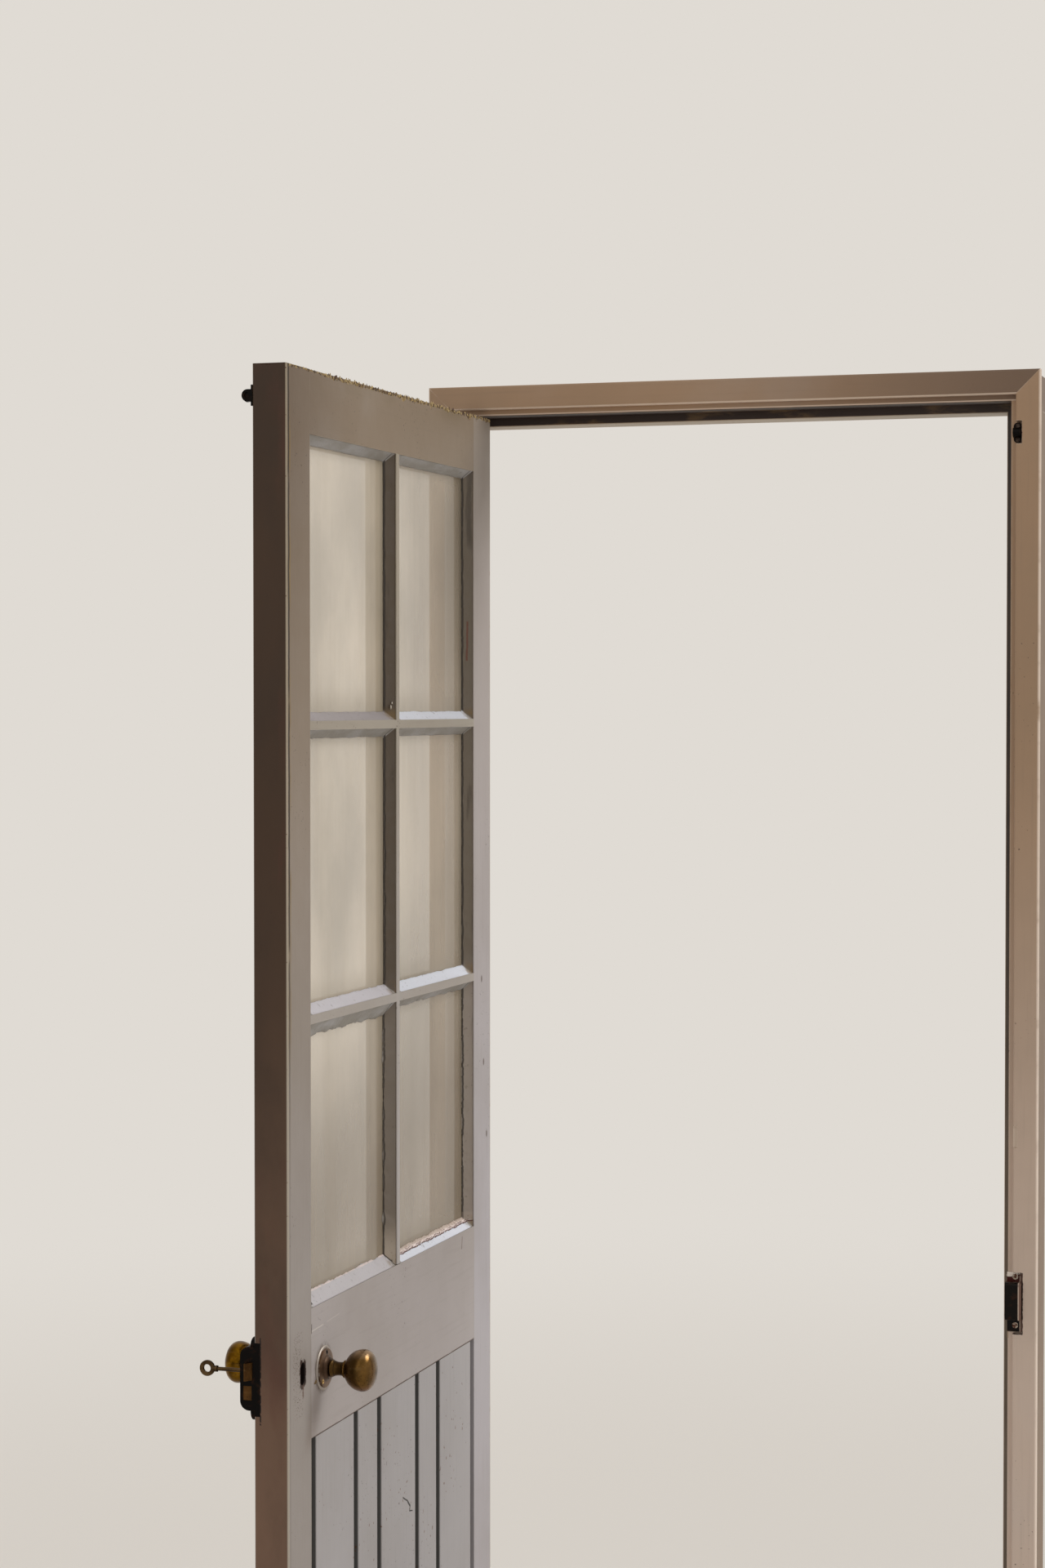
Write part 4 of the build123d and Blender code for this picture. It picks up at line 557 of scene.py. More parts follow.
def frame_base(name, along):
    """The frame's warmer paint, browner high up."""
    f = Finish(name)
    f.colour = f.blend(tone(208, 188, 173), tone(168, 137, 108), f.z.rise(0.7, 1.7))
    height = brushed(f, along)
    # Painted highlight: the arrises are paler, as where they catch the light
    arris = f.edges(0.0016) * f.noise(24, offset=6.0).rise(0.25, 0.55)
    f.coat(tone(222, 208, 192), arris * 0.75)
    return f, height


def shaded_head(f):
    """The head is browner towards its right-hand mitre."""
    f.coat(tone(96, 76, 62), f.x.rise(-0.1, 0.5) * 0.8)


def frame_done(f, height):
    """Sheen and brush marks of the frame's timber."""
    return f.done(0.42 + f.noise(30, offset=9.0) * 0.15, f.bumps(height, 0.0003))


def head_paint():
    """Frame head: its rebate painted nearly black as shade, with painted highlights on the
    room-side arris and the stop's lower edge.
    """
    f, height = frame_base("head_paint", "x")
    shaded_head(f)
    # Painted shade: the rebate behind the room face, nearly black with olive-brown patches
    behind = f.y.rise(ROOM_FACE + 0.0003, ROOM_FACE + 0.0012)
    rebate = f.z.within(HEAD_STOP_EDGE + 0.0003, HEAD_REBATE_EDGE, 0.0006)
    rebate = rebate * behind * f.y.rise(-0.003, -0.004)
    patch = f.noise(26, (0.35, 1, 1), detail=5, offset=3.0)
    grime_and_shade = f.blend(tone(50, 33, 25), tone(104, 80, 50), patch.rise(0.52, 0.62) * 0.85)
    f.coat(grime_and_shade, rebate)
    # Painted highlight on the room-side arris of the head
    painted_highlight = f.z.within(HEAD_REBATE_EDGE, HEAD_REBATE_EDGE + 0.002, 0.0006)
    painted_highlight = painted_highlight * f.y.rise(ROOM_FACE + 0.0012, ROOM_FACE + 0.0004)
    f.coat(tone(226, 206, 188), painted_highlight * 0.75)
    # Painted highlight on the stop's lower edge
    stop_edge_highlight = f.z.rise(HEAD_STOP_EDGE + 0.0002, HEAD_STOP_EDGE - 0.0004)
    f.coat(tone(188, 178, 160), stop_edge_highlight * 0.7)
    return frame_done(f, height - rebate * patch)


def jamb_paint():
    """Jambs: rebates behind the room face darkened with painted shade, darkest high up, bare wood
    on the sides built in.
    """
    f, height = frame_base("jamb_paint", "z")
    across = abs(f.x)
    # Painted shade in the rebates, darker high up
    rebate = across.within(STOP_EDGE + 0.0006, REBATE_EDGE + 0.0004, 0.0004)
    rebate = rebate * f.y.within(ROOM_FACE + 0.001, -0.0035, 0.0008)
    grime_and_shade = f.blend(tone(104, 90, 74), tone(30, 20, 14), f.z.rise(0.8, 1.6))
    patchy = (f.noise(40, (1, 1, 0.2), detail=4) * 0.3 + 0.8).least(1.0)
    f.coat(grime_and_shade, rebate * patchy)
    grain = f.noise(120, GRAIN["z"], detail=3, offset=4.0)
    bare = f.blend(tone(140, 116, 94), tone(112, 90, 70), grain)
    outer = across.rise(JAMB_OUTER_SIDE - 0.0004, JAMB_OUTER_SIDE + 0.0002)
    f.coat(bare, outer)
    return frame_done(f, height)


def architrave_paint():
    """Side architraves, with the broken paint round both keeps and a filled mortise."""
    f, height = frame_base("architrave_paint", "z")
    right = f.x.rise(0.3, 0.31)
    ragged = (f.noise(200, detail=4, offset=2.0) - 0.5) * 0.004
    rings = []
    for base, high in ((KEEP_LOW.z + KEEP_FOOT, KEEP_HIGH), (BOLT_KEEP_LOW.z, BOLT_KEEP_HIGH)):
        ring = (f.x - high.x + ragged).rise(0.0026, 0.0012)
        rings.append(ring * (f.z + ragged).within(base - 0.0012, high.z + 0.0012, 0.0008))
    dark = rings[0].most(rings[1]) * right
    f.coat(tone(52, 22, 16), dark)
    # Painted highlight along the outer arris
    outer = abs(f.x).rise(ARCHITRAVE_EDGE - 0.0024, ARCHITRAVE_EDGE - 0.0012)
    outer = outer * f.noise(18, (0, 0, 1), detail=4, offset=7.0).rise(0.3, 0.5)
    f.coat(tone(236, 218, 202), outer * 0.6)
    fill = f.z.within(1.0296, 1.0607, 0.0008) * f.x.within(0.41, 0.4242, 0.0006) * right
    f.coat(tone(214, 198, 180), fill * 0.5)
    return frame_done(f, height - dark * 2.0)


def architrave_head_paint():
    """Head architrave, with a painted highlight on its lower arris and underside."""
    f, height = frame_base("architrave_head_paint", "x")
    shaded_head(f)
    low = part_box("architrave_head")[0].z
    # Painted highlight on the lower arris and underside
    painted_highlight = f.z.rise(low + 0.0022, low + 0.0008) * (f.noise(20, (1, 0, 0), detail=3) * 0.3 + 0.7)
    f.coat(tone(240, 220, 202), painted_highlight * 0.85)
    return frame_done(f, height)


def sill_paint():
    """Sill, trodden down to grey wood along its middle."""
    f, height = frame_base("sill_paint", "x")
    trodden = f.z.rise(0.04, 0.049) * f.noise(9, (0.4, 1, 1), detail=5, offset=2.0).rise(0.38, 0.6)
    trodden = trodden * abs(f.x).rise(0.42, 0.2)
    grain = f.noise(220, GRAIN["x"], detail=3, offset=4.0)
    f.coat(f.blend(tone(118, 102, 84), tone(84, 70, 56), grain), trodden * 0.9)
    return frame_done(f, height - trodden * grain)


def pane_place(f):
    """Where a spot lies in its pane's rebate: across from the lock side, and up from the foot."""
    return (f.y - FIRST_PANE.y) % PANE_WIDE, (f.z - FIRST_PANE.z) % PANE_HIGH


def putty_paint():
    """Painted linseed putty: knifed, wrinkled, cracked along the glass on the hinge side, with
    painted light and shade on its bevels.
    """
    f = Finish("putty_paint")
    across, up = pane_place(f)
    wide = PANE_WIDE - BAR_WIDE
    from_side = wide - across
    hinge_pane = f.y.rise(BAR_MIDDLE - 0.002, BAR_MIDDLE + 0.002)
    lock_pane = 1 - hinge_pane
    lowest = f.z.rise(1.3, 1.22)
    strokes = f.noise(60, (1, 0.25, 0.8), detail=5, offset=1.0)
    f.colour = f.blend(tone(146, 141, 134), tone(168, 166, 166), strokes.rise(0.35, 0.7))

    # The bevel at each pane's foot, which faces the sky, painted pale as lit by it, palest and
    # bluish on the hinge side
    shelf = up.rise(0.0185, 0.0165) * across.rise(0.008, 0.013)
    shelf = shelf * across.rise(wide - 0.008, wide - 0.013)
    pale = f.blend(tone(193, 188, 192), tone(204, 200, 207), f.z.rise(1.0, 1.2))
    pale = f.blend(pale, tone(154, 146, 148), f.z.rise(1.3, 1.5))
    f.coat(f.blend(pale, tone(232, 236, 248), hinge_pane), shelf * 0.85)

    # The bevel on each pane's hinge side, between its two mitres, in painted shade, lighter low
    # down
    side = from_side.rise(0.0185, 0.0168)
    for past_mitre in (up - from_side, PANE_HIGH - BAR_WIDE - up - from_side):
        side = side * past_mitre.rise(-0.0008, 0.0008)
    shade = f.blend(tone(76, 61, 42), tone(104, 92, 76), hinge_pane)
    shade = f.blend(shade, f.blend(tone(110, 98, 85), tone(152, 140, 129), hinge_pane), lowest)
    shade = f.blend(shade, tone(168, 154, 138), f.z.rise(0.965, 0.905) * lock_pane)
    f.coat(shade, side * 0.92)
    wrinkle = f.noise(45, (1, 1, 0.16), detail=5, offset=6.0)
    f.coat(tone(56, 46, 36), side * wrinkle.rise(0.55, 0.68) * 0.6)
    wander = (f.noise(30, (0, 0, 1), detail=4, offset=3.0) - 0.5) * 0.003
    crack = 0.0125 + lowest * lock_pane * 0.0035 - from_side + wander
    crack = crack.within(-0.0002, 0.0014, 0.0004) * up.rise(0.01, 0.014)
    f.coat(tone(40, 32, 22), crack * 0.9)
    corner = across.rise(wide - 0.026, wide - 0.012) * up.rise(0.02, 0.006)
    corner = corner * f.noise(60, detail=4, offset=8.0).rise(0.35, 0.6)
    f.coat(tone(124, 98, 56), corner * 0.7)

    split = broken_putty(f, up, side)
    rim = f.y.rise(BAR_MIDDLE - 0.012, BAR_MIDDLE - 0.014)
    rim = rim * f.z.rise(LOWEST_PUTTY_TOP, LOWEST_PUTTY_TOP - 0.0005) * (1 - side)
    rim = rim * (up + wander * 0.4).within(0.0158, 0.0176, 0.0005)
    rim = rim * f.noise(40, (0, 1, 0), detail=3).rise(0.35, 0.5)
    f.coat(tone(236, 214, 206), rim * 0.6)
    turn = (-0.7835, 0.8958)
    foot = f.line((-0.7765, 0.9018), turn, 0.0014, 0.0008)
    foot = foot.most(f.line(turn, (-0.774, 0.8955), 0.001, 0.0006))
    at_bar = foot_cracks(up, from_side, wander) * lowest * f.z.rise(0.95, 0.94) * lock_pane
    foot = foot.most(at_bar)
    f.coat(tone(50, 34, 26), foot * 0.95)
    flaw = f.line((-0.141, 1.72), (-0.1405, 1.775), 0.0007, 0.0009) * side
    f.coat(tone(102, 52, 34), flaw * 0.8)
    grime_and_shade = f.noise(130, offset=4.0).rise(0.62, 0.7)
    f.coat(tone(96, 86, 74), grime_and_shade * 0.35)
    height = strokes + side * wrinkle * 1.4 - (crack + split).least(1.0) * 2.0 - foot * 1.5
    return f.done(0.48, f.bumps(height + f.noise(260, offset=2.0) * 0.3, 0.0005))


def broken_putty(f, up, side):
    """The lowest putty on the hinge side, broken along the glass. Gives its crack as a mask."""
    here = f.y.rise(BAR_MIDDLE + 0.005, BAR_MIDDLE + 0.007)
    here = here * f.z.rise(LOWEST_PUTTY_TOP, LOWEST_PUTTY_TOP - 0.003)
    drift = (f.noise(28, (0, 1, 0), detail=6, roughness=0.7, offset=9.0) - 0.5) * 0.008
    band = (up + drift).rise(0.0084, 0.0092) * here * (1 - side * 0.8)
    cream = f.blend(tone(244, 226, 220), tone(194, 174, 158),
                    (up + drift * 0.5).rise(0.0098, 0.0128))
    f.coat(cream, band * 0.92)
    crumbs = band * f.noise(190, detail=3, offset=5.0).rise(0.52, 0.6)
    f.coat(tone(166, 136, 120), crumbs * 0.5)
    split = (up + drift).within(0.0078, 0.0086, 0.0004) * here
    split = split * f.noise(60, (0, 1, 0), detail=3).rise(0.34, 0.42)
    second = (up + drift * 1.7).within(0.0101, 0.0106, 0.0003) * here
    second = second * f.noise(50, (0, 1, 0), detail=3, offset=6.0).rise(0.45, 0.52)
    f.coat(tone(92, 46, 38), (split + second).least(1.0) * 0.95)
    return split


def foot_cracks(up, from_side, wander):
    """Cracks where the lowest lock-side putty meets the upright bar: its mitre and a hook."""
    mitre = abs(up - from_side * 1.04 + wander * 0.3).rise(0.0017, 0.0009)
    mitre = mitre * up.within(0.0055, 0.0185, 0.0008)
    hook = (up - from_side + 0.0012).within(-0.0008, 0.0008, 0.0006) * up.rise(0.0052, 0.0042)
    bend = ((up - 0.007) ** 2 + (from_side - 0.0056) ** 2).rise(0.0000018, 0.0000006)
    return mitre.most(hook).most(bend * 0.8)


def pane_glass():
    """Old drawn glass: slightly wavy, filmed with dust that gathers along the putty."""
    f = Finish("pane_glass")
    across, up = pane_place(f)
    dust = f.noise(5, (1, 1, 0.6), detail=5)
    f.colour = f.blend(tone(222, 208, 186), tone(184, 172, 152), dust.rise(0.3, 0.7))
    low = f.z.rise(1.28, 0.98)
    dull = (low + f.y.rise(-0.44, -0.3) * 0.4).least(1.0)
    f.coat(tone(116, 98, 78), dull * 0.6)
    corner = across.rise(0.03, 0.008).most(across.rise(PANE_WIDE - 0.042, PANE_WIDE - 0.02))
    corner = corner.most(up.rise(0.05, 0.012)).most(up.rise(PANE_HIGH - 0.04, PANE_HIGH - 0.02))
    f.coat(tone(150, 136, 112), corner * 0.35)
    wipes = f.noise(26, (1, 1, 0.07), detail=3, offset=6.0).rise(0.35, 0.75)
    film = 0.44 + dust * 0.16 + corner * 0.1 + wipes * 0.08 + low * 0.1
    wave = f.noise(7, (1, 1, 0.5), detail=1, offset=2.0)
    return f.done(0.07 + wipes * 0.06, f.bumps(wave, 0.0012), Alpha=film)


# Metals

def black_iron():
    """Black japanned iron, rubbed brown on its edges and in patches."""
    f = Finish("black_iron")
    rubbed = f.noise(70, detail=5).rise(0.56, 0.7)
    f.colour = f.blend(tone(7, 4, 3), tone(44, 25, 15), rubbed * 0.7)
    edge = f.edges(0.0007) * f.noise(90, detail=3, offset=5.0).rise(0.45, 0.62)
    f.coat(tone(104, 70, 46), edge * 0.45)
    height = f.noise(180, detail=3, offset=3.0) - rubbed * 0.4
    return f.done(0.4 + rubbed * 0.2, f.bumps(height, 0.0003), Specular_IOR_Level=0.08)


def keep_iron():
    """The lock's keep: black, with a chipped white top edge that is also a painted glint, and a
    red-brown upper recess.
    """
    f = Finish("keep_iron")
    rubbed = f.noise(90, detail=5).rise(0.5, 0.66)
    f.colour = f.blend(tone(12, 6, 4), tone(46, 24, 14), rubbed * 0.7)
    top = KEEP_HIGH.z - f.z
    recess = top.within(0.0035, 0.0145, 0.0015) * f.y.rise(KEEP_LOW.y + 0.006, KEEP_LOW.y + 0.012)
    f.coat(tone(86, 34, 28), recess * 0.7)
    edge = f.edges(0.0007) * f.noise(60, detail=4).rise(0.45, 0.6)
    f.coat(tone(150, 128, 112), edge * 0.6)
    # White chips along the top edge, partly a painted glint
    reach = f.x.rise(KEEP_HIGH.x - 0.004, KEEP_LOW.x + 0.005) * 0.004 + 0.0025
    chips = (top - reach).rise(0.0006, -0.0006)
    chips = chips * f.noise(150, detail=4, offset=3.0).rise(0.3, 0.42)
    f.coat(tone(246, 236, 226), chips)
    lapped = f.x.rise(KEEP_HIGH.x - 0.0034, KEEP_HIGH.x - 0.0028)
    lapped = lapped * f.noise(140, detail=4, offset=5.0).rise(0.3, 0.4)
    f.coat(tone(132, 104, 92), lapped * 0.8)
    rim = f.x.within(KEEP_HIGH.x - 0.0042, KEEP_HIGH.x - 0.003, 0.0005) * top.rise(0.003, 0.006)
    rim = rim * f.noise(50, (0, 0, 1)).rise(0.3, 0.45)
    f.coat(tone(206, 184, 168), rim * 0.8)
    flange = (f.z - KEEP_LOW.z - KEEP_FOOT).rise(0.0008, -0.0004)
    f.coat(tone(190, 168, 146), flange * 0.85)
    return f.done(0.3 + rubbed * 0.2, f.bumps(rubbed * 0.5 + chips, 0.0004),
                  Specular_IOR_Level=0.12)


def plain_iron():
    """Bare iron gone brown, for works, hinges and pins."""
    f = Finish("plain_iron")
    brown = f.noise(80, detail=5).rise(0.4, 0.65)
    f.colour = f.blend(tone(92, 86, 80), tone(84, 58, 40), brown)
    f.coat(tone(150, 142, 132), f.edges(0.0006) * 0.35)
    return f.done(0.5, f.bumps(brown, 0.0002), Metallic=0.7)


def worn_steel():
    """Screw heads, rusty in the recesses and darkened with the keeps' paint high up."""
    f = Finish("worn_steel")
    stain = f.noise(260, detail=4).rise(0.42, 0.62)
    f.colour = f.blend(tone(172, 160, 146), tone(96, 54, 38), stain)
    f.coat(tone(38, 24, 18), f.z.rise(1.95, 2.0) * 0.9)
    return f.done(0.34 + stain * 0.25, f.bumps(stain, 0.00015), Metallic=0.8)


def brass(name, bright, dull, shine):
    """Turned brass, patchily tarnished: the finish, its roughness and its height."""
    f = Finish(name)
    tarnish = f.noise(34, detail=6).rise(0.35, 0.68)
    f.colour = f.blend(bright, dull, tarnish)
    pits = f.noise(430, detail=2, offset=6.0).rise(0.66, 0.72)
    f.coat(tone(44, 32, 18), pits * 0.7)
    streaks = f.noise(160, (0.12, 1, 1), detail=2, offset=3.0).rise(0.5, 0.8)
    f.coat(tone(150, 122, 84), streaks * 0.2)
    return f, shine + tarnish * 0.14, tarnish * 0.25 - pits


def plain_brass(name, bright, dull, shine):
    """Tarnished brass without marks of its own."""
    f, rough, height = brass(name, bright, dull, shine)
    return f.done(rough, f.bumps(height, 0.0001), Metallic=1.0)


def knob_brass():
    """Outer knob: olive-brown bronze, ringed dark on its neck, with painted pinkish highlights on
    its top and underside.
    """
    f, rough, height = brass("knob_brass", tone(114, 84, 44), tone(76, 56, 28), 0.2)
    out = f.x - OUTDOOR_FACE
    for groove in (0.0115, 0.0165, 0.0265):
        ring = out.within(groove - 0.0003, groove + 0.0003, 0.0004)
        f.coat(tone(36, 28, 18), ring)
    neck = out.rise(0.03, 0.024)
    f.coat(tone(58, 44, 26), neck * 0.5)
    # Painted highlights: pinkish on the top and on the underside of the knob
    high = (f.z - KNOB_Z).rise(0.016, 0.026) * out.rise(0.04, 0.05)
    f.coat(tone(190, 162, 132), high * 0.5)
    low = (KNOB_Z - f.z).rise(0.014, 0.025) * out.rise(0.036, 0.05)
    f.coat(tone(156, 112, 88), low * 0.4)
    return f.done(rough, f.bumps(height, 0.0001), Metallic=1.0)


def rose_brass():
    """Rose: dull and greyish, with the leaf's paint lapped over its rim."""
    f, rough, height = brass("rose_brass", tone(118, 90, 68), tone(82, 60, 42), 0.4)
    away = f.away(KNOB_Y, KNOB_Z)
    ragged = (f.noise(130, detail=4, offset=3.0) - 0.5) * 0.006
    lapped = (away + ragged).rise(0.0245, 0.0262)
    f.coat(tone(176, 168, 160), lapped * 0.85)
    # Painted shade in the empty screw hole at the top of the rose
    shaded_hole = f.away(KNOB_Y, KNOB_Z + 0.0205)
    f.coat(tone(18, 10, 6), shaded_hole.rise(0.0038, 0.0028))
    dirt = (away + ragged).within(0.0125, 0.0165, 0.0012)
    f.coat(tone(56, 38, 26), dirt * 0.7)
    return f.done(rough + lapped * 0.1, f.bumps(height, 0.0001), Metallic=0.75)


# Putty laid along each rebate

class Knifing:
    """How the putty of one pane was laid: its width on each side and how much it wanders."""

    def __init__(self, bottom=PUTTY_WIDE, hinge=PUTTY_WIDE, top=PUTTY_WIDE, lock=PUTTY_WIDE,
                 waver=0.0008, lumps=0.0003):
        self.bottom = bottom
        self.hinge = hinge
        self.top = top
        self.lock = lock
        self.waver = waver
        self.lumps = lumps


KNIFINGS = {
    "upper_lock_side": Knifing(hinge=0.013, waver=0.0006),
    "upper_hinge_side": Knifing(hinge=0.0128, waver=0.0007),
    "middle_lock_side": Knifing(bottom=0.0125, hinge=0.0134, waver=0.0011),
    "middle_hinge_side": Knifing(bottom=0.012, hinge=0.0128, waver=0.001),
    "lower_lock_side": Knifing(bottom=0.0172, hinge=0.0165, top=0.0178, waver=0.0028,
                               lumps=0.0007),
    "lower_hinge_side": Knifing(bottom=0.0145, hinge=0.0128, top=0.0115, waver=0.0024,
                                lumps=0.0007),
}
PUTTY_SHARES = (0.0, 0.06, 0.2, 0.38, 0.56, 0.74, 0.9, 1.0)
FADE_NEAR_CORNERS = 14
WAVES_PER_METRE = 45
LUMPS_PER_METRE = 120
BEVEL_CURVE = 0.94


def putty_ring(node, knifing, seed):
    """A knifed bevel round one pane, its foot wandering on the glass."""
    low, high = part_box(node)
    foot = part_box(node.replace("putty", "glass"))[1].x
    top = high.x - PUTTY_SETBACK
    outer = [Vector((low.y, low.z)), Vector((high.y, low.z)), Vector((high.y, high.z)),
             Vector((low.y, high.z))]
    near = Vector((low.y + knifing.lock, low.z + knifing.bottom))
    far = Vector((high.y - knifing.hinge, high.z - knifing.top))
    inner = [near, Vector((far.x, near.y)), far, Vector((near.x, far.y))]
    inwards = [Vector((0, 1)), Vector((-1, 0)), Vector((0, -1)), Vector((1, 0))]
    mesh = bmesh.new()
    loops = []
    for k in range(4):
        after = (k + 1) % 4
        count = round((outer[after] - outer[k]).length / PUTTY_STEP)
        for i in range(count):
            share = i / count
            start = outer[k].lerp(outer[after], share)
            fade = min(1.0, FADE_NEAR_CORNERS * share, FADE_NEAR_CORNERS * (1 - share))
            spot = Vector((start.x * WAVES_PER_METRE + seed, start.y * WAVES_PER_METRE,
                           seed * 1.7))
            shift = knifing.waver * fade * (noise.noise(spot) + 0.5 * noise.noise(spot * 5))
            end = inner[k].lerp(inner[after], share) + inwards[k] * shift
            loops.append(putty_section(mesh, start, end, top, foot, knifing, fade, seed))
    for a, b in zip(loops, loops[1:] + loops[:1]):
        for i in range(len(a)):
            j = (i + 1) % len(a)
            mesh.faces.new((a[i], b[i], b[j], a[j]))
    bmesh.ops.recalc_face_normals(mesh, faces=mesh.faces)
    return mesh


def putty_section(mesh, start, end, top, foot, knifing, fade, seed):
    """One cross-section: down the bevel, then back along the glass."""
    section = []
    for part in PUTTY_SHARES:
        flat = start.lerp(end, part)
        spot = Vector((flat.x * LUMPS_PER_METRE, flat.y * LUMPS_PER_METRE, seed + part * 2))
        swell = math.sin(part * math.pi)
        lump = knifing.lumps * fade * swell * (noise.noise(spot) + 0.5 * noise.noise(spot * 3))
        depth = top + (foot + PUTTY_FOOT - top) * part ** BEVEL_CURVE + lump
        section.append(mesh.verts.new((depth, flat.x, flat.y)))
    for flat in (end, start):
        section.append(mesh.verts.new((foot + PUTTY_OFF_GLASS, flat.x, flat.y)))
    return section


def new_piece(name, mesh, material):
    """Turns a bmesh into a smooth-shaded, linked object at the origin."""
    for face in mesh.faces:
        face.smooth = True
    data = bpy.data.meshes.new(name)
    mesh.to_mesh(data)
    mesh.free()
    data.materials.append(material)
    piece = bpy.data.objects.new(name, data)
    bpy.context.scene.collection.objects.link(piece)
    return piece


def lay_putty(paint):
    """Knifed putty in place of the six plain fillets."""
    for index, (pane, knifing) in enumerate(KNIFINGS.items()):
        mesh = putty_ring(f"putty_{pane}", knifing, SEED + 5 * index)
        piece = new_piece(f"knifed_putty_{pane}", mesh, paint)
        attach(piece, "leaf")
        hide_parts(f"putty_{pane}")


# Flakes and specks

def flakes(name, start, end, count, size, spread, material, body, seed):
    """Thin chips scattered along a line: count of them, up to size across."""
    p = Pattern(name)
    number = p.size("Count", count, "NodeSocketInt")
    first = p.size("Start", start, "NodeSocketVector")
    last = p.size("End", end, "NodeSocketVector")
    largest = p.size("Chip size", size)
    scatter = p.size("Scatter", spread, "NodeSocketVector")
    line = p.node("GeometryNodeMeshLine", {"mode": "END_POINTS"},
                  {"Count": number, "Start Location": first, "Offset": last}, "Mesh")
    jump = p.random((-1.0, -1.0, -1.0), (1.0, 1.0, 1.0), seed)
    jump = p.node("ShaderNodeVectorMath", {"operation": "MULTIPLY"}, {0: jump, 1: scatter},
                  "Vector")
    line = p.node("GeometryNodeSetPosition", values={"Geometry": line, "Offset": jump})
    chip = p.node("GeometryNodeMeshIcoSphere", values={"Radius": 0.5, "Subdivisions": 1},
                  output="Mesh")
    turn = p.random((-3.1, -0.12, -0.12), (3.1, 0.12, 0.12), seed + 1)
    shape = p.random((0.12, 0.5, 0.25), (0.2, 1.0, 0.6), seed + 2)
    shape = p.node("ShaderNodeVectorMath", {"operation": "SCALE"},
                   {0: shape, "Scale": largest}, "Vector")
    strewn = p.node("GeometryNodeInstanceOnPoints", values={
        "Points": line, "Instance": chip, "Rotation": turn, "Scale": shape})
    piece = p.finish(name, strewn, material)
    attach(piece, body)


def chip_paint(name, light, dark, scale):
    """Matt paint in two mottled tones, for anything that has come off or dripped."""
    f = Finish(name)
    f.colour = f.blend(dark, light, f.noise(scale, detail=3).rise(0.42, 0.55))
    return f.done(0.7, f.bumps(f.noise(600), 0.0001))


def strew_flakes():
    """Lifted paint along the leaf's top, crumbs of putty, and chips on the lock's keep."""
    paint = chip_paint("lifted_paint", tone(170, 146, 98), tone(70, 42, 18), 150)
    face = OUTDOOR_FACE
    line = LEAF_TOP - 0.0018
    flakes("top_arris_flakes", (face, -0.74, line), (face, HINGE_SIDE - 0.004, line),
           count=210, size=0.0078, spread=(0.0002, 0.004, 0.0018), material=paint,
           body="leaf", seed=SEED)
    flakes("top_corner_flakes", (face, -0.862, LEAF_TOP - 0.0022),
           (face, -0.745, LEAF_TOP - 0.0014), count=16, size=0.0055,
           spread=(0.0002, 0.006, 0.0012), material=paint,
           body="leaf", seed=SEED + 7)
    crumb = chip_paint("putty_crumb", tone(172, 152, 136), tone(92, 62, 48), 240)
    deep, high = OUTDOOR_FACE - 0.0078, 0.9015
    flakes("broken_putty_crumbs", (deep, -0.449, high), (deep, -0.148, high),
           count=40, size=0.0044, spread=(0.0008, 0.003, 0.0016), material=crumb,
           body="leaf", seed=SEED + 13)
    # White chips on the keep's top edge, partly standing in for a glint of light
    white = chip_paint("chipped_white", tone(232, 222, 210), tone(180, 160, 144), 200)
    top = KEEP_HIGH.z - 0.0012
    flakes("keep_edge_chips", (KEEP_LOW.x + 0.002, KEEP_LOW.y + 0.0012, top),
           (KEEP_HIGH.x - 0.004, -0.0535, top), count=9, size=0.0042,
           spread=(0.0016, 0.0008, 0.0006), material=white,
           body="frame", seed=SEED + 17)


def specks():
    """Blobs of paint caught in the board channels and on the bars, one mesh."""
    draw = random.Random(SEED)
    mesh = bmesh.new()
    channels = [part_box(name)[0].y + 0.006 for name in starting("board_")]
    for y in channels[:-1]:
        for z in sorted(draw.uniform(0.1, 0.7) for _ in range(3)):
            blob(mesh, Vector((OUTDOOR_FACE - 0.0052, y + draw.uniform(-0.001, 0.001), z)),
                 draw.uniform(0.0009, 0.0016))
    blob(mesh, Vector((OUTDOOR_FACE - 0.006, -0.4735, 1.6515)), 0.0022)
    blob(mesh, Vector((OUTDOOR_FACE - 0.0045, -0.4725, 1.6575)), 0.0014)
    piece = new_piece("paint_specks", mesh,
                      chip_paint("speck_paint", tone(220, 216, 208), tone(180, 170, 156), 90))
    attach(piece, "leaf")


def blob(mesh, centre, radius):
    """A lumpy bead, flattened against the face it sits on."""
    made = bmesh.ops.create_icosphere(mesh, subdivisions=2, radius=radius)
    for vertex in made["verts"]:
        push = 1 + 0.25 * noise.noise(vertex.co * 900 + centre * 50)
        vertex.co = centre + Vector((vertex.co.x * 0.5, vertex.co.y, vertex.co.z * 1.3)) * push


def rose_tack():
    """Small domed tack driven at the lower rim of the rose, with its burr of lifted paint."""
    mesh = bmesh.new()
    blob(mesh, Vector((OUTDOOR_FACE + 0.0006, -0.7738, 0.7955)), 0.0021)
    blob(mesh, Vector((OUTDOOR_FACE + 0.0003, -0.7775, 0.7945)), 0.0012)
    piece = new_piece("rose_tack", mesh,
                      plain_brass("tack_brass", tone(150, 128, 96), tone(90, 68, 44), 0.35))
    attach(piece, "leaf")


# Finishes on the CAD nodes

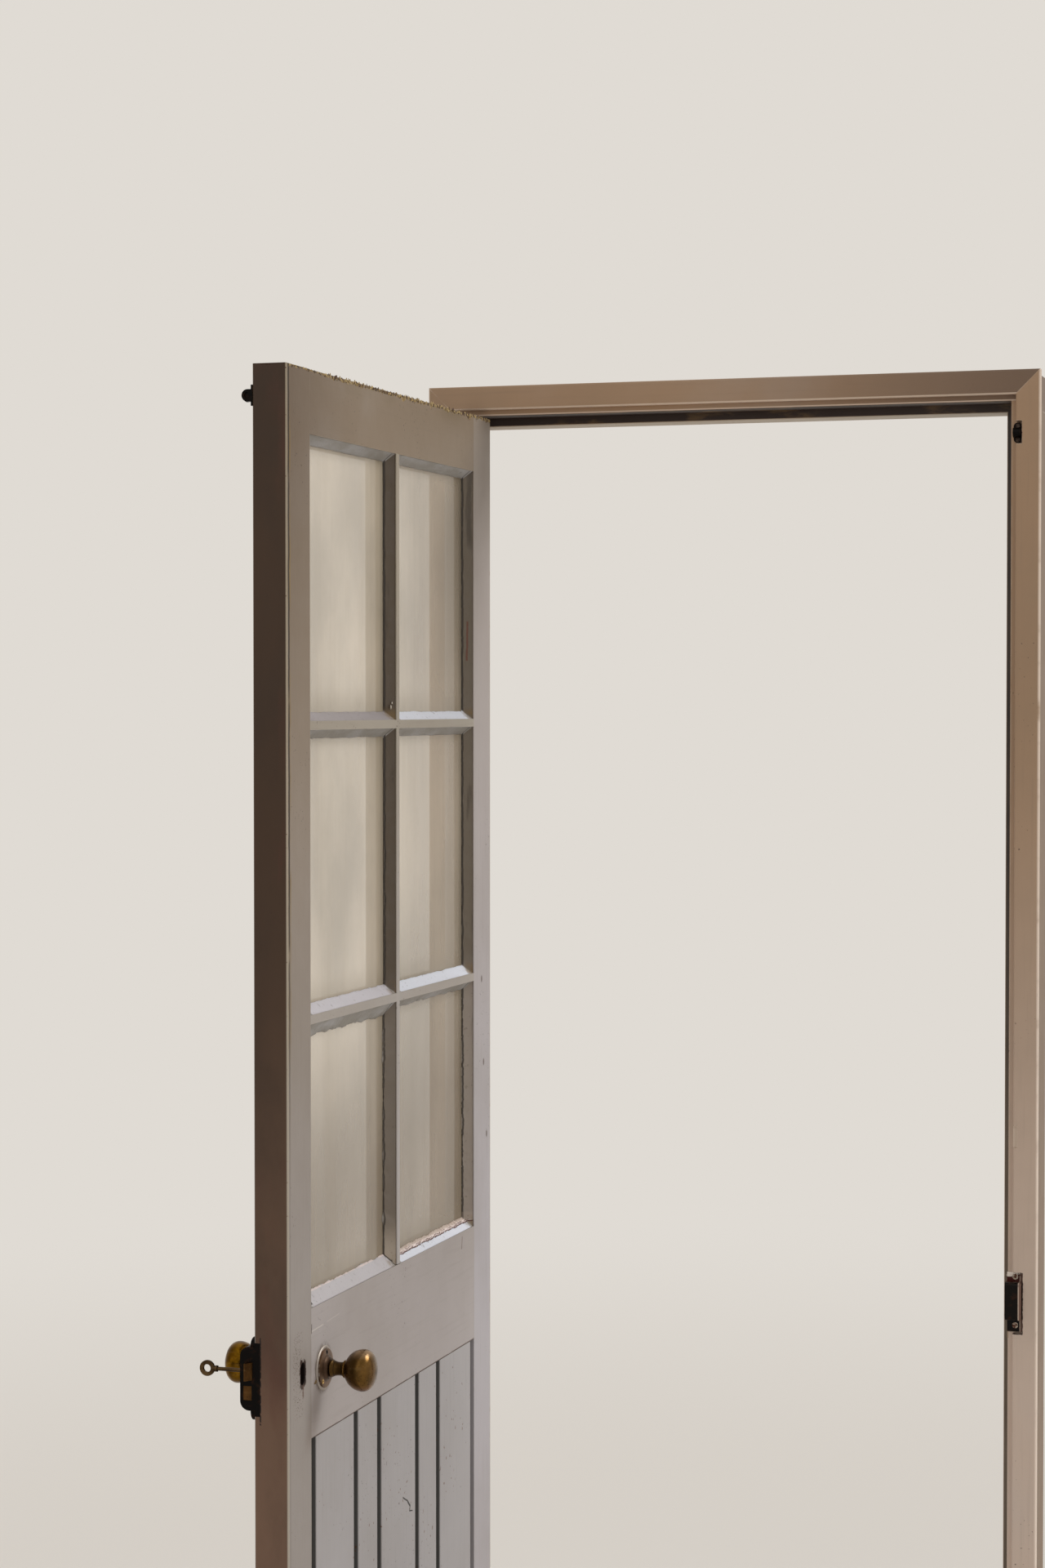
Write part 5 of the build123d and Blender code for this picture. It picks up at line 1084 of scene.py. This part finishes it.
def dress_timber(putty):
    """Paint on the leaf, its putty and the frame."""
    wear("closing_stile", material=closing_stile_paint())
    wear("hinge_stile", material=hinge_stile_paint())
    wear("glazing_bar_upright", material=upright_bar_paint())
    rails = rail_paint("rail_paint", tone(169, 161, 159), tone(135, 118, 99))
    wear("top_rail", "lock_rail", "bottom_rail", material=rails)
    bars = rail_paint("cross_bar_paint", tone(172, 165, 162), tone(160, 150, 134))
    wear(*starting("glazing_bar_lower", "glazing_bar_upper"), material=bars)
    wear(*starting("board_"), material=board_paint())
    wear("hinge_jamb", "lock_jamb", material=jamb_paint())
    wear("frame_head", material=head_paint())
    wear("sill", material=sill_paint())
    wear("architrave_hinge_side", "architrave_lock_side", material=architrave_paint())
    wear("architrave_head", material=architrave_head_paint())
    wear(*starting("putty_"), material=putty)


def dress_fittings():
    """Glass, iron and brass."""
    wear(*starting("glass_"), material=pane_glass())
    wear("lock_case", "bolt_keep", "bolt_plate", "top_bolt", material=black_iron())
    wear("lock_keep", material=keep_iron())
    iron = plain_iron()
    wear("lock_cap", "follower", "spindle", "lock_springs", "hinge_pins", material=iron)
    wear(*starting("hinge_frame_flap", "hinge_leaf_flap"), material=iron)
    wear("frame_screws", "leaf_screws", material=worn_steel())
    wear("knob_outer", material=knob_brass())
    wear("knob_rose", material=rose_brass())
    wear("knob_inner",
         material=plain_brass("yellow_brass", tone(136, 98, 20), tone(70, 46, 6), 0.16))
    wear("rose_screw",
         material=plain_brass("screw_brass", tone(206, 166, 84), tone(128, 98, 46), 0.28))
    wear("latch_bolt", "dead_bolt",
         material=plain_brass("bolt_brass", tone(92, 64, 34), tone(62, 42, 24), 0.34))
    wear("key", material=plain_brass("key_bronze", tone(96, 76, 50), tone(58, 44, 30), 0.36))


# Studio

FLOOR_RADIUS = 60
FLOOR_CLEAR, FLOOR_GONE = 1.8, 5.5
FILL = (1.0, 0.985, 0.97, 1.0)


def ground():
    """A pale floor that keeps the shadow and melts into the background further off."""
    mesh = bmesh.new()
    bmesh.ops.create_circle(mesh, cap_ends=True, cap_tris=True, segments=96,
                            radius=FLOOR_RADIUS)
    f = Finish("pale_floor")
    f.colour = tone(226, 221, 214)
    f.done(0.9)
    away = (f.x ** 2 + f.y ** 2) ** 0.5
    glow = f.node("ShaderNodeEmission", values={"Color": BACKGROUND, "Strength": 1.0})
    plain = Signal(f, f.shader.outputs[0])
    far = f.looked_at() * away.rise(FLOOR_CLEAR, FLOOR_GONE)
    mixed = f.node("ShaderNodeMixShader", values={0: far, 1: plain, 2: glow})
    f.feed(f.tree.nodes["Material Output"].inputs["Surface"], mixed)
    floor = new_piece("floor", mesh, f.material)


def surroundings():
    """Plain light from everywhere; what the camera and the metal see is the pale background."""
    world = bpy.data.worlds.new("studio")
    bpy.context.scene.world = world
    world.use_nodes = True
    w = Tree(world.node_tree)
    w.tree.nodes.clear()
    fill = w.node("ShaderNodeBackground", values={"Color": FILL, "Strength": 0.5})
    back = w.node("ShaderNodeBackground", values={"Color": BACKGROUND, "Strength": 1.0})
    mixed = w.node("ShaderNodeMixShader", values={0: w.looked_at(), 1: fill, 2: back})
    end = w.tree.nodes.new("ShaderNodeOutputWorld")
    w.feed(end.inputs["Surface"], mixed)


def sun(name, towards, strength, spread, colour):
    """A sun lamp with soft shadows, shining from the given direction."""
    light = bpy.data.lights.new(name, "SUN")
    light.energy = strength
    light.angle = math.radians(spread)
    light.color = colour
    holder = bpy.data.objects.new(name, light)
    holder.rotation_euler = Vector(towards).to_track_quat("Z", "Y").to_euler()
    holder.location = Vector(towards) * 4
    bpy.context.scene.collection.objects.link(holder)


def camera():
    """The photograph's own viewpoint and lens."""
    lens = bpy.data.cameras.new("camera")
    lens.sensor_fit = "HORIZONTAL"
    lens.sensor_width = SENSOR_WIDTH
    lens.lens = FOCAL_PIXELS * SENSOR_WIDTH / PHOTO_WIDTH
    holder = bpy.data.objects.new("camera", lens)
    holder.location = CAMERA_PLACE
    holder.rotation_euler = (math.pi / 2 - CAMERA_DIP, 0.0, CAMERA_YAW)
    bpy.context.scene.collection.objects.link(holder)
    bpy.context.scene.camera = holder


bpy.context.scene.view_settings.view_transform = "Standard"
camera()
surroundings()
ground()
sun("outdoor_light", (0.66, 0.42, 0.62), strength=1.55, spread=32, colour=(1.0, 0.99, 0.97))
sun("room_light", (-0.35, -0.75, 0.56), strength=0.32, spread=50, colour=(1.0, 0.93, 0.85))
PUTTY = putty_paint()
dress_timber(PUTTY)
dress_fittings()
lay_putty(PUTTY)
strew_flakes()
specks()
rose_tack()
